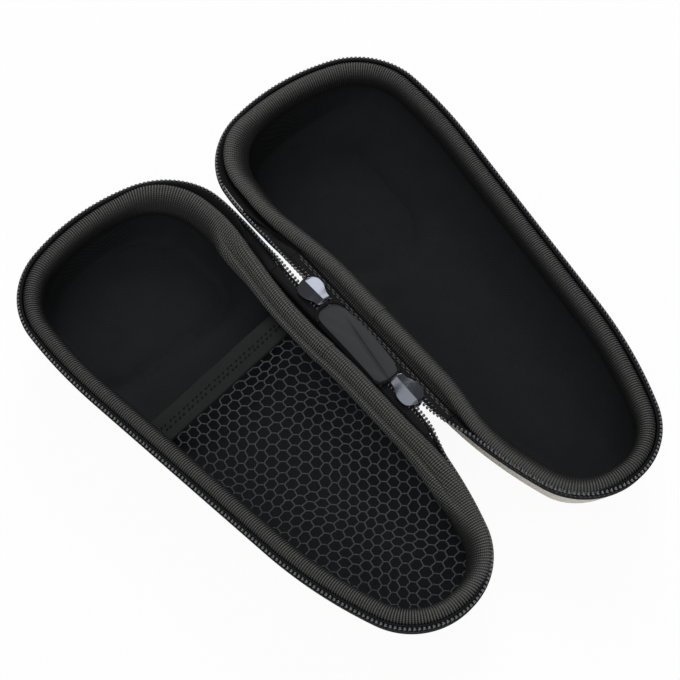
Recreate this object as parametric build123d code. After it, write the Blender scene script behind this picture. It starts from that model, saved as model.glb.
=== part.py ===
"""Hard case for an electric shaver: two moulded foam half shells, joined by a fabric hinge
strip and closed all round by a coil zip with two sliders.

The case is modelled lying open and flat. +Z is up, +Y points to the wide end, the base half
lies at +X and the lid half, its mirror image on the outside, at -X. The hinge line runs along
Y at X = 0 in the plane where the two zip edges meet. All sizes are in millimetres.
"""
from build123d import *
import os
from dataclasses import dataclass, replace
from math import acos, atan2, cos, pi, radians, sin, sqrt

# ---- driving dimensions ---------------------------------------------------------------------

CLOSING_HEIGHT = 27.0       # floor to the plane where the two zip edges meet
CASE_LENGTH = 184.0         # zip edge, wide end to nose
HEAD_WIDTH = 77.6           # zip edge across the shaver head
NOSE_RADIUS = 24.0
NOSE_EXIT = 20.65           # degrees from the centre line where the nose arc ends
FLANK_RADIUS = 148.0        # long arc beside the nose
SHOULDER_RADIUS = 170.0     # long arc beside the head
SHOULDER_EXIT = 5.0         # degrees
CORNER_RADIUS = 26.0        # corners of the wide end
CORNER_EXIT = 74.0          # degrees
HALF_TILT = -2.72           # degrees, each half's centre line against the hinge line
HINGE_GAP = 0.3             # zip edge to hinge line where they come closest
CLOSING_GAP = 0.15          # each zip edge to the closing plane

# zip tape and teeth
COLLAR_HEIGHT = 5.0         # closing plane down to the shell's edge
TAPE_THICK = 0.6
TAPE_SETBACK = 0.9          # teeth crest to the tape's outer face
TOOTH_SEAT = 0.05           # thread between the teeth and the tape
TAPE_TOP_DROP = 0.4         # closing plane to the tape's top edge
TOOTH_PITCH = 1.4
TOOTH_HEIGHT = 2.6
TOOTH_CUT = 0.45            # depth of the notch between two teeth

# moulded shells
SHELL_INSET = 1.0           # zip edge to the shell's edge at the free sides
HINGE_SETBACK = 3.6         # the shell's hinge side lies this much further in
EDGE_WALL = 2.0             # shell's edge, outer face to the binding seat
SEAT_DEPTH = 2.0            # height of the binding seat
UNDER_SEAT_INSET = 4.4      # shell's edge to the foam just under the seat
LINING_THICK = 0.8
OUTER_LEAN = 4.6            # the flat back lies this much nearer the hinge
OUTER_SIDE_RUN = 13.4       # shell's edge to the flat back, along both flanks, before the lean
OUTER_WIDE_RUN = 8.0
OUTER_NOSE_RUN = 14.5
OUTER_DRAFT = 0.5           # share of that run taken by the straight tapered wall
OUTER_HINGE_DRAFT = 0.15    # the same along the hinge flank
CAVITY_SIDE_RUN = 21.0      # shell's edge to the cavity floor, along both flanks
CAVITY_WIDE_RUN = 10.5
CAVITY_NOSE_RUN = 13.0
CAVITY_DRAFT = 0.22
NOSE_SHRINK = 0.62          # share of the flank run that the nose radius loses
EXIT_SHRINK = 0.42          # degrees that the nose exit loses for each mm of flank run
BASE_CAVITY_DEPTH = 20.0    # closing plane to the handle floor
BASE_HEAD_DEPTH = 24.0      # closing plane to the head floor
BASE_STEP_FROM_END = 66.0   # shell's wide end to the near end of the head recess
LID_CAVITY_DEPTH = 16.5
LID_HEAD_DEPTH = 18.5
LID_STEP_FROM_END = 57.0
WELL_SIDE = 21.0            # shell's edge to the recess floor, along the flanks
WELL_END = 11.0             # the same at the wide end
WELL_CORNER = 9.0
WELL_SLOPE = 35.0           # degrees, recess wall against the vertical
WELL_RUNOUT = 2.5           # how far the recess wall is carried up past the handle floor

# ribbon binding round each opening
BINDING_WIDTH = 5.4
BINDING_TOP = 0.9           # below the closing plane
BINDING_BOTTOM = 6.2
BINDING_ROLL = 2.4          # rounding of its inner top edge

# mesh pocket in the lid
BAND_WIDTH = 9.2
BAND_THICK = 1.2
BAND_FROM_END = 73.6        # shell's wide end to the middle of the band
BAND_TILT = 5.0             # degrees
MESH_THICK = 0.6
POCKET_CLEARANCE = 1.0      # lining under the seat to the pocket's edge

# hinge strip and sliders
STRIP_DROP = 1.5            # zip plane of the strip below the hinge line
STRIP_CENTRE_Y = -2.7
SLIDER_SPAN = 57.2          # tip to tip, sliders parked
SLIDER_TRAVEL = 8.0
STRIP_TAIL = 1.5            # strip beyond the end of the slider's travel
STRAND_INNER = 1.1          # hinge line to the crest of the strand's teeth
STRAND_WIDTH = 2.4
STRAND_THICK = 1.3
STRIP_TAPE_EDGE = 5.3
STRIP_TAPE_THICK = 0.5
PATCH_HALF_WIDTH = 4.9
PATCH_THICK = 0.6
GUSSET_X = 5.75
GUSSET_THICK = 0.6
GUSSET_DROP = 1.6           # hinge line to the gusset's top edge

SLIDER_LENGTH = 11.5
SLIDER_HALF_WIDTH = 4.4
SLIDER_REAR_HALF = 2.4
SLIDER_SHOULDER = 4.6       # tip to the widest place
CHANNEL_HALF_HEIGHT = 0.85
CHANNEL_HALF_WIDTH = 3.75
PLATE_THICK = 0.9
RIDGE_RISE = 0.5
TAPE_SLOT_HALF = 0.4
POST_HALF_WIDTH = 0.9
POST_LENGTH = 3.6
PLATE_TO_PATCH = 0.3

BAIL_WIDTH = 1.2
BAIL_BAR = 1.0
BAIL_OPENING_HEIGHT = 1.9
BAIL_OPENING_LENGTH = 4.4
PULL_LENGTH = 19.0          # crossbar to the free end
PULL_WIDTH = 6.0
PULL_THICK = 1.2
PULL_CROSSBAR = 1.2         # height of the bar inside the bail
PULL_WINDOW_WIDTH = 2.2
PULL_WINDOW_LENGTH = 4.0

SECTION_DEPTHS = (0.0, 0.4, 0.65, 0.82, 0.93, 0.985, 1.0)


# ---- the case outline -----------------------------------------------------------------------

@dataclass
class Egg:
    """Closed outline of tangent arcs with a round nose towards -Y. Its flank at +X is the free
    side and its flank at -X the hinge side, each with its own half width."""
    wide_y: float
    nose_y: float
    free_half: float
    hinge_half: float
    nose_radius: float
    nose_exit: float
    flank_radius: float
    shoulder_radius: float
    corner_radius: float

    def inset(self, distance):
        """The same outline drawn in by an even distance."""
        return replace(
            self,
            wide_y=self.wide_y - distance,
            nose_y=self.nose_y + distance,
            free_half=self.free_half - distance,
            hinge_half=self.hinge_half - distance,
            nose_radius=self.nose_radius - distance,
            flank_radius=self.flank_radius - distance,
            shoulder_radius=self.shoulder_radius - distance,
            corner_radius=self.corner_radius - distance,
        )

    def towards(self, other, share):
        """An outline that lies part of the way to another one."""
        values = {
            name: (1 - share) * value + share * getattr(other, name)
            for name, value in self.__dict__.items()
        }
        return Egg(**values)

    def centre_x(self):
        """Middle between the two flanks."""
        return (self.free_half - self.hinge_half) / 2

    def side(self, half_width, sign, z):
        """Edges of one side: half nose, flank, straight, shoulder, corner and half wide end."""
        turn = radians(SHOULDER_EXIT)
        last = radians(CORNER_EXIT)
        reach = half_width - self.shoulder_radius * (1 - cos(turn))
        end_radius = (reach - self.corner_radius * (cos(turn) - cos(last))) / cos(last)
        station = self.wide_y - self.shoulder_radius * sin(turn)
        station -= self.corner_radius * (sin(last) - sin(turn)) + end_radius * (1 - sin(last))

        def normal(heading):
            return Vector(cos(heading), -sin(heading))

        leave = radians(self.nose_exit)
        nose = Vector(0, self.nose_y + self.nose_radius)
        flank = nose - normal(leave) * (self.flank_radius - self.nose_radius)
        shoulder = Vector(half_width - self.shoulder_radius, station)
        between = flank - shoulder
        taper = -atan2(between.Y, between.X)
        taper -= acos((self.shoulder_radius - self.flank_radius) / between.length)
        corner = shoulder + normal(-turn) * (self.shoulder_radius - self.corner_radius)
        end = Vector(0, self.wide_y - end_radius)

        def place(centre, radius, heading):
            spot = centre + normal(heading) * radius
            return (sign * spot.X, spot.Y, z)

        def arc(centre, radius, first, second):
            stops = [first, (first + second) / 2, second]
            return ThreePointArc(*[place(centre, radius, stop) for stop in stops])

        return [
            arc(nose, self.nose_radius, pi / 2, leave),
            arc(flank, self.flank_radius, leave, taper),
            Line(place(flank, self.flank_radius, taper),
                 place(shoulder, self.shoulder_radius, taper)),
            arc(shoulder, self.shoulder_radius, taper, -turn),
            arc(corner, self.corner_radius, -turn, -last),
            arc(end, end_radius, -last, -pi / 2),
        ]

    def wire(self, z):
        free = self.side(self.free_half, 1, z)
        hinge = self.side(self.hinge_half, -1, z)
        return Wire(free + hinge[::-1])

    def face(self, z):
        return Face(self.wire(z))


ZIP_EDGE = Egg(
    wide_y=CASE_LENGTH / 2,
    nose_y=-CASE_LENGTH / 2,
    free_half=HEAD_WIDTH / 2,
    hinge_half=HEAD_WIDTH / 2,
    nose_radius=NOSE_RADIUS,
    nose_exit=NOSE_EXIT,
    flank_radius=FLANK_RADIUS,
    shoulder_radius=SHOULDER_RADIUS,
    corner_radius=CORNER_RADIUS,
)
SHELL_EDGE = replace(
    ZIP_EDGE.inset(SHELL_INSET), hinge_half=HEAD_WIDTH / 2 - SHELL_INSET - HINGE_SETBACK)


def below(depth):
    """Height of a level given as a depth under the closing plane."""
    return CLOSING_HEIGHT - depth


def drawn_in(edge, side, wide, nose):
    """Outline drawn in by its own run along the flanks and at each end."""
    extra = side - nose
    return replace(
        edge.inset(wide),
        nose_y=edge.nose_y + nose,
        free_half=edge.free_half - side,
        hinge_half=edge.hinge_half - side,
        nose_radius=edge.nose_radius - nose - (1 - NOSE_SHRINK) * extra,
        nose_exit=edge.nose_exit - EXIT_SHRINK * extra,
    )


def bowl(top, floor, top_depth, floor_depth, draft, hinge_draft, lean=0.0):
    """Solid bowl: a straight tapered wall that runs into an elliptical rounding at the floor.
    Its floor lies nearer the hinge by the lean."""
    sections = []
    for drop in SECTION_DEPTHS:
        rounding = 1 - sqrt(1 - drop * drop)
        share = draft * drop + (1 - draft) * rounding
        hinge_share = hinge_draft * drop + (1 - hinge_draft) * rounding
        hinge_half = (1 - hinge_share) * top.hinge_half + hinge_share * floor.hinge_half
        section = replace(top.towards(floor, share), hinge_half=hinge_half)
        depth = top_depth + (floor_depth - top_depth) * drop
        sections.append(Pos(-lean * share, 0, 0) * section.wire(below(depth)))
    return Solid.make_loft(sections, ruled=True)


def raised(face, height):
    """Flat face drawn straight up."""
    return extrude(face, amount=height, dir=(0, 0, 1))


def ring(outer, inner, top_depth, bottom_depth):
    """Upright band between two outlines."""
    blank = outer.face(below(bottom_depth)) - inner.face(below(bottom_depth))
    return raised(blank, bottom_depth - top_depth)


# ---- shells and linings ---------------------------------------------------------------------

def head_well(step, head_depth, handle_depth, grow):
    """Recess for the shaver's head, sunk into the cavity floor."""
    width = SHELL_EDGE.free_half + SHELL_EDGE.hinge_half - 2 * WELL_SIDE
    length = step - WELL_END
    middle_y = SHELL_EDGE.wide_y - WELL_END - length / 2
    blank = Pos(SHELL_EDGE.centre_x(), middle_y, below(head_depth + grow))
    blank *= RectangleRounded(width, length, WELL_CORNER)
    height = head_depth - handle_depth + WELL_RUNOUT + 2 * grow
    return extrude(blank, amount=height, taper=-WELL_SLOPE)


def cavity(handle_depth, head_depth, step, grow=0.0):
    """Hollow of one half; grow leaves room for the lining."""
    top = SHELL_EDGE.inset(UNDER_SEAT_INSET + LINING_THICK - grow)
    side = CAVITY_SIDE_RUN - grow
    floor = drawn_in(SHELL_EDGE, side, CAVITY_WIDE_RUN - grow, CAVITY_NOSE_RUN - grow)
    hollow = bowl(
        top, floor, BINDING_BOTTOM, handle_depth + grow, CAVITY_DRAFT, CAVITY_DRAFT)
    return hollow + head_well(step, head_depth, handle_depth, grow)


def shell_and_lining(handle_depth, head_depth, step):
    """Foam shell faced with cloth, and the cloth lining bonded inside it."""
    outer_floor = drawn_in(SHELL_EDGE, OUTER_SIDE_RUN, OUTER_WIDE_RUN, OUTER_NOSE_RUN)
    body = bowl(SHELL_EDGE, outer_floor, COLLAR_HEIGHT, CLOSING_HEIGHT, OUTER_DRAFT,
                OUTER_HINGE_DRAFT, OUTER_LEAN)
    seat = raised(SHELL_EDGE.inset(EDGE_WALL).face(below(BINDING_BOTTOM)), SEAT_DEPTH)
    room = cavity(handle_depth, head_depth, step, grow=LINING_THICK)
    lining = room - cavity(handle_depth, head_depth, step)
    return body - seat - room, lining


# ---- zip tape, teeth and binding ------------------------------------------------------------

STRIP_REACH = SLIDER_SPAN / 2 + SLIDER_TRAVEL + STRIP_TAIL


def half_offset():
    """Distance of a half's centre line from the hinge line, at the middle of its length."""
    probe = ZIP_EDGE.face(0).rotate(Axis.Z, HALF_TILT)
    return HINGE_GAP - probe.bounding_box().min.X


def hinge_clearance():
    """Space round the hinge line that the zip of a half leaves to the gusset and the strip."""
    height = 2 * COLLAR_HEIGHT
    room = Box(4 * (GUSSET_X + GUSSET_THICK), 2 * STRIP_REACH, height)
    return Pos(0, STRIP_CENTRE_Y, below(COLLAR_HEIGHT) + height / 2) * room


def zip_tape():
    """Tape sewn over the shell's edge and standing up to the teeth."""
    edge_z = below(COLLAR_HEIGHT)
    top_z = below(TAPE_TOP_DROP)
    setback = TAPE_SETBACK + TOOTH_SEAT
    outer = Solid.make_loft(
        [SHELL_EDGE.wire(edge_z), ZIP_EDGE.inset(setback).wire(top_z)], ruled=True)
    inner = Solid.make_loft(
        [SHELL_EDGE.inset(TAPE_THICK).wire(edge_z),
         ZIP_EDGE.inset(setback + TAPE_THICK).wire(top_z)], ruled=True)
    flange = ring(SHELL_EDGE.inset(TOOTH_SEAT), SHELL_EDGE.inset(EDGE_WALL),
                  COLLAR_HEIGHT - TAPE_THICK, COLLAR_HEIGHT)
    return (outer - inner) + flange


def zip_teeth():
    """Row of teeth along the outer face of the tape, one notch for each turn of the coil."""
    crest = ZIP_EDGE.wire(0)
    root = ZIP_EDGE.inset(TOOTH_CUT).wire(0)
    count = round(crest.length / TOOTH_PITCH)
    corners = []
    for step in range(count):
        corners.append(crest.position_at(step / count))
        corners.append(root.position_at((step + 0.5) / count))
    blank = Face(Wire.make_polygon(corners)) - ZIP_EDGE.inset(TAPE_SETBACK).face(0)
    return Pos(0, 0, below(CLOSING_GAP + TOOTH_HEIGHT)) * raised(blank, TOOTH_HEIGHT)


def rim_binding():
    """Rolled ribbon that covers the raw edge of foam, lining and tape."""
    outer = SHELL_EDGE.inset(EDGE_WALL)
    inner = outer.inset(BINDING_WIDTH)
    half_way = BINDING_ROLL * (1 - sqrt(0.5))
    profile = [
        (inner, BINDING_BOTTOM),
        (inner, BINDING_TOP + BINDING_ROLL),
        (inner.inset(-half_way), BINDING_TOP + half_way),
        (inner.inset(-BINDING_ROLL), BINDING_TOP),
    ]
    mouth = Solid.make_loft([edge.wire(below(depth)) for edge, depth in profile], ruled=True)
    return raised(outer.face(below(BINDING_BOTTOM)), BINDING_BOTTOM - BINDING_TOP) - mouth


# ---- mesh pocket ----------------------------------------------------------------------------

def pocket():
    """Elastic band across the lid and the mesh from it to the nose."""
    room = SHELL_EDGE.inset(UNDER_SEAT_INSET + LINING_THICK + POCKET_CLEARANCE)
    span = HEAD_WIDTH + CASE_LENGTH
    line = Pos(SHELL_EDGE.centre_x(), SHELL_EDGE.wide_y - BAND_FROM_END) * Rot(0, 0, -BAND_TILT)
    band_area = room.face(0) & (line * Rectangle(span, BAND_WIDTH))
    nose_side = line * Pos(0, -(BAND_WIDTH + span) / 2) * Rectangle(span, span)
    mesh_area = room.face(0) & nose_side
    band = Pos(0, 0, below(BINDING_BOTTOM + BAND_THICK)) * raised(band_area, BAND_THICK)
    mesh = Pos(0, 0, below(BINDING_BOTTOM + MESH_THICK)) * raised(mesh_area, MESH_THICK)
    return band, mesh


# ---- hinge strip ----------------------------------------------------------------------------

STRIP_Z = CLOSING_HEIGHT - STRIP_DROP


def strand_teeth(side):
    """Straight run of teeth beside the hinge line, crests towards it."""
    count = round(2 * STRIP_REACH / TOOTH_PITCH)
    start = STRIP_CENTRE_Y - count * TOOTH_PITCH / 2
    outer = STRAND_INNER + STRAND_WIDTH
    corners = [(side * outer, start)]
    for step in range(count):
        corners.append((side * (STRAND_INNER + TOOTH_CUT), start + step * TOOTH_PITCH))
        corners.append((side * STRAND_INNER, start + (step + 0.5) * TOOTH_PITCH))
    end = start + count * TOOTH_PITCH
    corners += [(side * (STRAND_INNER + TOOTH_CUT), end), (side * outer, end)]
    row = raised(Face(Wire.make_polygon(corners)), STRAND_THICK)
    row = Pos(0, 0, STRIP_Z - STRAND_THICK / 2) * row
    return row - strand_tape(side)


def strand_tape(side):
    """Woven tape that carries one strand of teeth."""
    inner = STRAND_INNER + TOOTH_CUT + STRIP_TAPE_THICK
    width = STRIP_TAPE_EDGE - inner
    tape = Box(width, 2 * STRIP_REACH, STRIP_TAPE_THICK)
    return Pos(side * (inner + width / 2), STRIP_CENTRE_Y, STRIP_Z) * tape


def patch(lift):
    """Cloth strip sewn over the strands between the two sliders."""
    length = SLIDER_SPAN - 2 * SLIDER_LENGTH - 2 * PLATE_TO_PATCH
    cloth = Box(2 * PATCH_HALF_WIDTH, length, PATCH_THICK)
    return Pos(0, STRIP_CENTRE_Y, STRIP_Z + lift) * cloth


def gusset():
    """Cloth wall on a shell's edge that carries the hinge strip."""
    height = COLLAR_HEIGHT - GUSSET_DROP
    wall = Box(GUSSET_THICK, 2 * STRIP_REACH, height)
    foot = Pos(GUSSET_X + GUSSET_THICK / 2, STRIP_CENTRE_Y, below(COLLAR_HEIGHT))
    return foot * Pos(0, 0, height / 2) * wall


# ---- slider and pull ------------------------------------------------------------------------

def spade(z, thick):
    """Slider plate: pointed at the wedge, widest at the shoulders, narrow at the rear."""
    tip = SLIDER_LENGTH / 2
    shoulder = tip - SLIDER_SHOULDER
    right = [
        Spline((0, tip), (SLIDER_HALF_WIDTH * 0.72, tip - SLIDER_SHOULDER * 0.4),
               (SLIDER_HALF_WIDTH, shoulder), tangents=[(1, -0.25), (0, -1)]),
        Spline((SLIDER_HALF_WIDTH, shoulder), (SLIDER_REAR_HALF, -tip),
               tangents=[(0, -1), (-0.35, -1)]),
    ]
    left = [curve.mirror(Plane.YZ) for curve in reversed(right)]
    rear = Line((SLIDER_REAR_HALF, -tip), (-SLIDER_REAR_HALF, -tip))
    outline = Face(Wire([*right, rear, *left]))
    return Pos(0, 0, z) * raised(outline, thick)


def slider_body():
    """Two plates, the wedge that joins them, the tape guides and the bail, tip towards +Y."""
    tip = SLIDER_LENGTH / 2
    inner = spade(CHANNEL_HALF_HEIGHT, PLATE_THICK + RIDGE_RISE)
    roof = Polygon(
        (-SLIDER_HALF_WIDTH, CHANNEL_HALF_HEIGHT), (SLIDER_HALF_WIDTH, CHANNEL_HALF_HEIGHT),
        (SLIDER_HALF_WIDTH, CHANNEL_HALF_HEIGHT + PLATE_THICK),
        (0, CHANNEL_HALF_HEIGHT + PLATE_THICK + RIDGE_RISE),
        (-SLIDER_HALF_WIDTH, CHANNEL_HALF_HEIGHT + PLATE_THICK), align=None)
    inner &= extrude(Plane.XZ * roof, amount=SLIDER_LENGTH, both=True)
    outer = spade(-CHANNEL_HALF_HEIGHT - PLATE_THICK, PLATE_THICK)
    post = Pos(0, tip - POST_LENGTH / 2 - 0.4, 0)
    post *= Box(2 * POST_HALF_WIDTH, POST_LENGTH, 2 * CHANNEL_HALF_HEIGHT)
    post &= spade(-CHANNEL_HALF_HEIGHT, 2 * CHANNEL_HALF_HEIGHT)
    guides = spade(-CHANNEL_HALF_HEIGHT, 2 * CHANNEL_HALF_HEIGHT)
    guides -= Box(2 * CHANNEL_HALF_WIDTH, 2 * SLIDER_LENGTH, 4 * CHANNEL_HALF_HEIGHT)
    guides -= Box(3 * SLIDER_HALF_WIDTH, 2 * SLIDER_LENGTH, 2 * TAPE_SLOT_HALF)
    return inner + outer + post + guides + bail()


BAIL_TOP = -CHANNEL_HALF_HEIGHT - PLATE_THICK
PULL_PIVOT = BAIL_TOP - BAIL_OPENING_HEIGHT / 2


def bail():
    """Arch on the outer plate that holds the pull's crossbar."""
    length = BAIL_OPENING_LENGTH + 2 * BAIL_BAR
    height = BAIL_OPENING_HEIGHT + BAIL_BAR
    arch = Pos(0, 0, BAIL_TOP - height / 2) * Box(BAIL_WIDTH, length, height)
    corners = arch.edges().filter_by(Axis.X).group_by(Axis.Z)[0]
    arch = fillet(corners, BAIL_BAR)
    window = Pos(0, 0, BAIL_TOP - BAIL_OPENING_HEIGHT / 2)
    return arch - window * Box(2 * BAIL_WIDTH, BAIL_OPENING_LENGTH, BAIL_OPENING_HEIGHT)


def pull():
    """Pull tab hanging from the bail by its crossbar."""
    top = PULL_PIVOT + PULL_CROSSBAR / 2
    blank = Pos(0, 0, top - PULL_LENGTH / 2) * Box(PULL_WIDTH, PULL_THICK, PULL_LENGTH)
    ends = blank.edges().filter_by(Axis.Y).group_by(Axis.Z)
    blank = fillet(ends[0], PULL_WIDTH * 0.4)
    blank = fillet(blank.edges().filter_by(Axis.Y).group_by(Axis.Z)[-1], PULL_WIDTH * 0.2)
    window = Pos(0, 0, PULL_PIVOT - PULL_CROSSBAR / 2 - PULL_WINDOW_LENGTH / 2)
    return blank - window * Box(PULL_WINDOW_WIDTH, 2 * PULL_THICK, PULL_WINDOW_LENGTH)


# ---- assembly -------------------------------------------------------------------------------

def main():
    turn = Rot(0, 0, HALF_TILT)
    place = Pos(half_offset(), 0, 0) * turn
    clear = hinge_clearance()
    nodes = {}

    base_shell, base_lining = shell_and_lining(
        BASE_CAVITY_DEPTH, BASE_HEAD_DEPTH, BASE_STEP_FROM_END)
    lid_shell, lid_lining = shell_and_lining(
        LID_CAVITY_DEPTH, LID_HEAD_DEPTH, LID_STEP_FROM_END)
    tape = place * zip_tape() - clear
    teeth = place * zip_teeth() - clear
    binding = place * rim_binding()
    band, mesh = pocket()

    nodes["base_shell"] = place * base_shell
    nodes["base_lining"] = place * base_lining
    nodes["base_zip_tape"] = tape
    nodes["base_zip_teeth"] = teeth
    nodes["base_rim_binding"] = binding
    nodes["base_hinge_gusset"] = gusset()
    nodes["lid_shell"] = mirror(place * lid_shell, about=Plane.YZ)
    nodes["lid_lining"] = mirror(place * lid_lining, about=Plane.YZ)
    nodes["lid_zip_tape"] = mirror(tape, about=Plane.YZ)
    nodes["lid_zip_teeth"] = mirror(teeth, about=Plane.YZ)
    nodes["lid_rim_binding"] = mirror(binding, about=Plane.YZ)
    nodes["lid_hinge_gusset"] = mirror(gusset(), about=Plane.YZ)
    nodes["pocket_band"] = mirror(place * band, about=Plane.YZ)
    nodes["pocket_mesh"] = mirror(place * mesh, about=Plane.YZ)

    lift = CHANNEL_HALF_HEIGHT + PATCH_THICK / 2
    nodes["hinge_patch_inner"] = patch(lift)
    nodes["hinge_patch_outer"] = patch(-lift)
    nodes["hinge_tape_base_side"] = strand_tape(1)
    nodes["hinge_tape_lid_side"] = strand_tape(-1)
    nodes["hinge_teeth_base_side"] = strand_teeth(1)
    nodes["hinge_teeth_lid_side"] = strand_teeth(-1)

    reach = (SLIDER_SPAN - SLIDER_LENGTH) / 2
    for name, side in (("wide", 1), ("nose", -1)):
        spot = Pos(0, STRIP_CENTRE_Y + side * reach, STRIP_Z) * Rot(0, 0, 90 - 90 * side)
        nodes[f"slider_{name}"] = spot * slider_body()
        nodes[f"slider_{name}_pull"] = spot * pull()

    os.makedirs("parts", exist_ok=True)
    for name, solid in nodes.items():
        solid.label = name
        export_step(solid, f"parts/{name}.step")


if __name__ == "__main__":
    main()
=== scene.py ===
"""Builds the cloth, zip and metal pieces of an electric shaver's hard case round its frame."""

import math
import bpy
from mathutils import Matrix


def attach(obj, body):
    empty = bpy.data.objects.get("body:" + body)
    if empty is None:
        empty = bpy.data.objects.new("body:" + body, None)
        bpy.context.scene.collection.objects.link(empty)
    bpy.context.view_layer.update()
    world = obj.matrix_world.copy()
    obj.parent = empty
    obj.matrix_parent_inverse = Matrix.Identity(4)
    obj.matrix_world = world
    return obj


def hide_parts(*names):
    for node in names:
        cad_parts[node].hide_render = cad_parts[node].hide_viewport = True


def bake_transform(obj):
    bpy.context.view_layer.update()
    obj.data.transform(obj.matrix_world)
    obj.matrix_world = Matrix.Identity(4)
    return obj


bl_info = {
    "name": "Electric shaver hard case",
    "version": (1, 0, 0),
    "blender": (4, 5, 0),
    "location": "View3D > Sidebar > Shaver case",
    "description": "Zipped foam case with ribbed binding, coil zip, two sliders and a net pocket",
    "category": "Object",
}

import bpy
import numpy as np
from mathutils import Matrix

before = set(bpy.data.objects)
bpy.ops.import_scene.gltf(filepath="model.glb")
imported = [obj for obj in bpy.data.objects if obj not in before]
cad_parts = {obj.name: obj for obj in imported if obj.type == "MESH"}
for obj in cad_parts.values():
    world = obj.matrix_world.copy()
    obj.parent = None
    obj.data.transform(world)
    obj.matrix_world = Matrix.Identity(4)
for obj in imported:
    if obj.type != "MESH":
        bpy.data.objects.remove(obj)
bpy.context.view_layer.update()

MM = 0.001


def linear(hex_colour):
    """Linear red, green and blue of an sRGB hex colour."""
    parts = np.array([int(hex_colour[i:i + 2], 16) for i in (1, 3, 5)]) / 255
    low = parts / 12.92
    high = ((parts + 0.055) / 1.055) ** 2.4
    return tuple(float(v) for v in np.where(parts <= 0.04045, low, high))


# ---- outline of a half ----------------------------------------------------------------------
# An outline is nine numbers in millimetres and degrees: wide end Y, nose Y, half width on the
# free side and on the hinge side, nose radius, nose exit angle, flank, shoulder and corner radii.

WIDE_Y, NOSE_Y, FREE_HALF, HINGE_HALF, NOSE_RADIUS, NOSE_EXIT = range(6)
INSET = np.array([1, -1, 1, 1, 1, 0, 1, 1, 1.0])
ZIP_EDGE = np.array([92, -92, 38.8, 38.8, 24, 20.65, 148, 170, 26.0])
HINGE_SETBACK = 3.6          # the shell's edge lies this much further in beside the hinge
SHELL_EDGE = ZIP_EDGE - INSET - np.eye(9)[HINGE_HALF] * HINGE_SETBACK
CENTRE_X = (SHELL_EDGE[FREE_HALF] - SHELL_EDGE[HINGE_HALF]) / 2
SHOULDER_EXIT = math.radians(5)
CORNER_EXIT = math.radians(74)
HALF_TILT = math.radians(-2.72)
HINGE_GAP = 0.3
CLOSING_HEIGHT = 27.0
LAP = 12.0                   # an outline's parameter runs from 0 at the nose to 12
FINE = 6001                  # points on which a run is measured


def side_of_outline(eggs, half, along):
    """One side of each outline, from nose (0) to the middle of the wide end (6). Each unit is a
    circular arc or a straight line: centre, radius and heading run evenly from one end of it to
    the other, and a point is centre + radius * (cos heading, -sin heading)."""
    wide_y, nose_y, _, _, nose_r, leave, flank_r, shoulder_r, corner_r = eggs.T
    leave = np.radians(leave)
    turn, last = SHOULDER_EXIT, CORNER_EXIT
    reach = half - shoulder_r * (1 - math.cos(turn))
    end_r = (reach - corner_r * (math.cos(turn) - math.cos(last))) / math.cos(last)
    station = wide_y - shoulder_r * math.sin(turn) - end_r * (1 - math.sin(last))
    station -= corner_r * (math.sin(last) - math.sin(turn))

    def normal(heading):
        """Outward direction at a heading, one for each outline."""
        heading = np.broadcast_to(heading, half.shape)
        return np.stack([np.cos(heading), -np.sin(heading)], -1)

    zero = np.zeros_like(half)
    nose = np.stack([zero, nose_y + nose_r], -1)
    flank = nose - normal(leave) * (flank_r - nose_r)[:, None]
    shoulder = np.stack([half - shoulder_r, station], -1)
    gap = flank - shoulder
    taper = -np.arctan2(gap[:, 1], gap[:, 0])
    taper -= np.arccos((shoulder_r - flank_r) / np.hypot(gap[:, 0], gap[:, 1]))
    corner = shoulder + normal(-turn) * (shoulder_r - corner_r)[:, None]
    end = np.stack([zero, wide_y - end_r], -1)
    centres = np.array([nose, flank, flank, shoulder, corner, end]), np.array(
        [nose, flank, shoulder, shoulder, corner, end])
    radii = np.array([nose_r, flank_r, flank_r, shoulder_r, corner_r, end_r]), np.array(
        [nose_r, flank_r, shoulder_r, shoulder_r, corner_r, end_r])
    stops = np.array([zero + math.pi / 2, leave, taper, taper, zero - turn, zero - last,
                      zero - math.pi / 2])
    part = np.clip(along.astype(int), 0, 5)
    share = (along - part)[:, None]
    heading = stops[part] * (1 - share) + stops[part + 1] * share
    radius = radii[0][part] * (1 - share) + radii[1][part] * share
    centre = centres[0][part] * (1 - share[..., None]) + centres[1][part] * share[..., None]
    facing = np.stack([np.cos(heading), -np.sin(heading)], -1)
    return (centre + radius[..., None] * facing).swapaxes(0, 1), facing.swapaxes(0, 1)


def outline(eggs, spots):
    """Points and outward normals, as (outline, spot, xy), of outlines at spots 0..12: up the free
    side to the middle of the wide end at 6, and back down the hinge side."""
    eggs = np.atleast_2d(np.asarray(eggs, float))
    spots = np.asarray(spots, float) % LAP
    free = spots < LAP / 2
    rise = np.where(free, spots, LAP - spots)
    one, one_n = side_of_outline(eggs, eggs[:, FREE_HALF], rise)
    two, two_n = side_of_outline(eggs, eggs[:, HINGE_HALF], rise)
    mirror = np.array([-1, 1.0])
    pick = free[None, :, None]
    return np.where(pick, one, two * mirror), np.where(pick, one_n, two_n * mirror)


def on_half(points, side):
    """Local millimetres of a half to metres of the case: turned by the tilt, moved off the hinge
    line, and mirrored for the lid, whose side is -1."""
    x, y, z = np.moveaxis(np.asarray(points, float), -1, 0)
    across = x * math.cos(HALF_TILT) - y * math.sin(HALF_TILT) + HALF_OFFSET
    along = x * math.sin(HALF_TILT) + y * math.cos(HALF_TILT)
    return np.stack([side * across, along, z], -1) * MM


def placed(egg, spots):
    """Placed outline of the base in millimetres, as (spot, xyz) with a height of 0."""
    flat = outline(egg, spots)[0][0]
    return on_half(np.append(flat, np.zeros((len(flat), 1)), 1), 1) / MM


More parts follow.
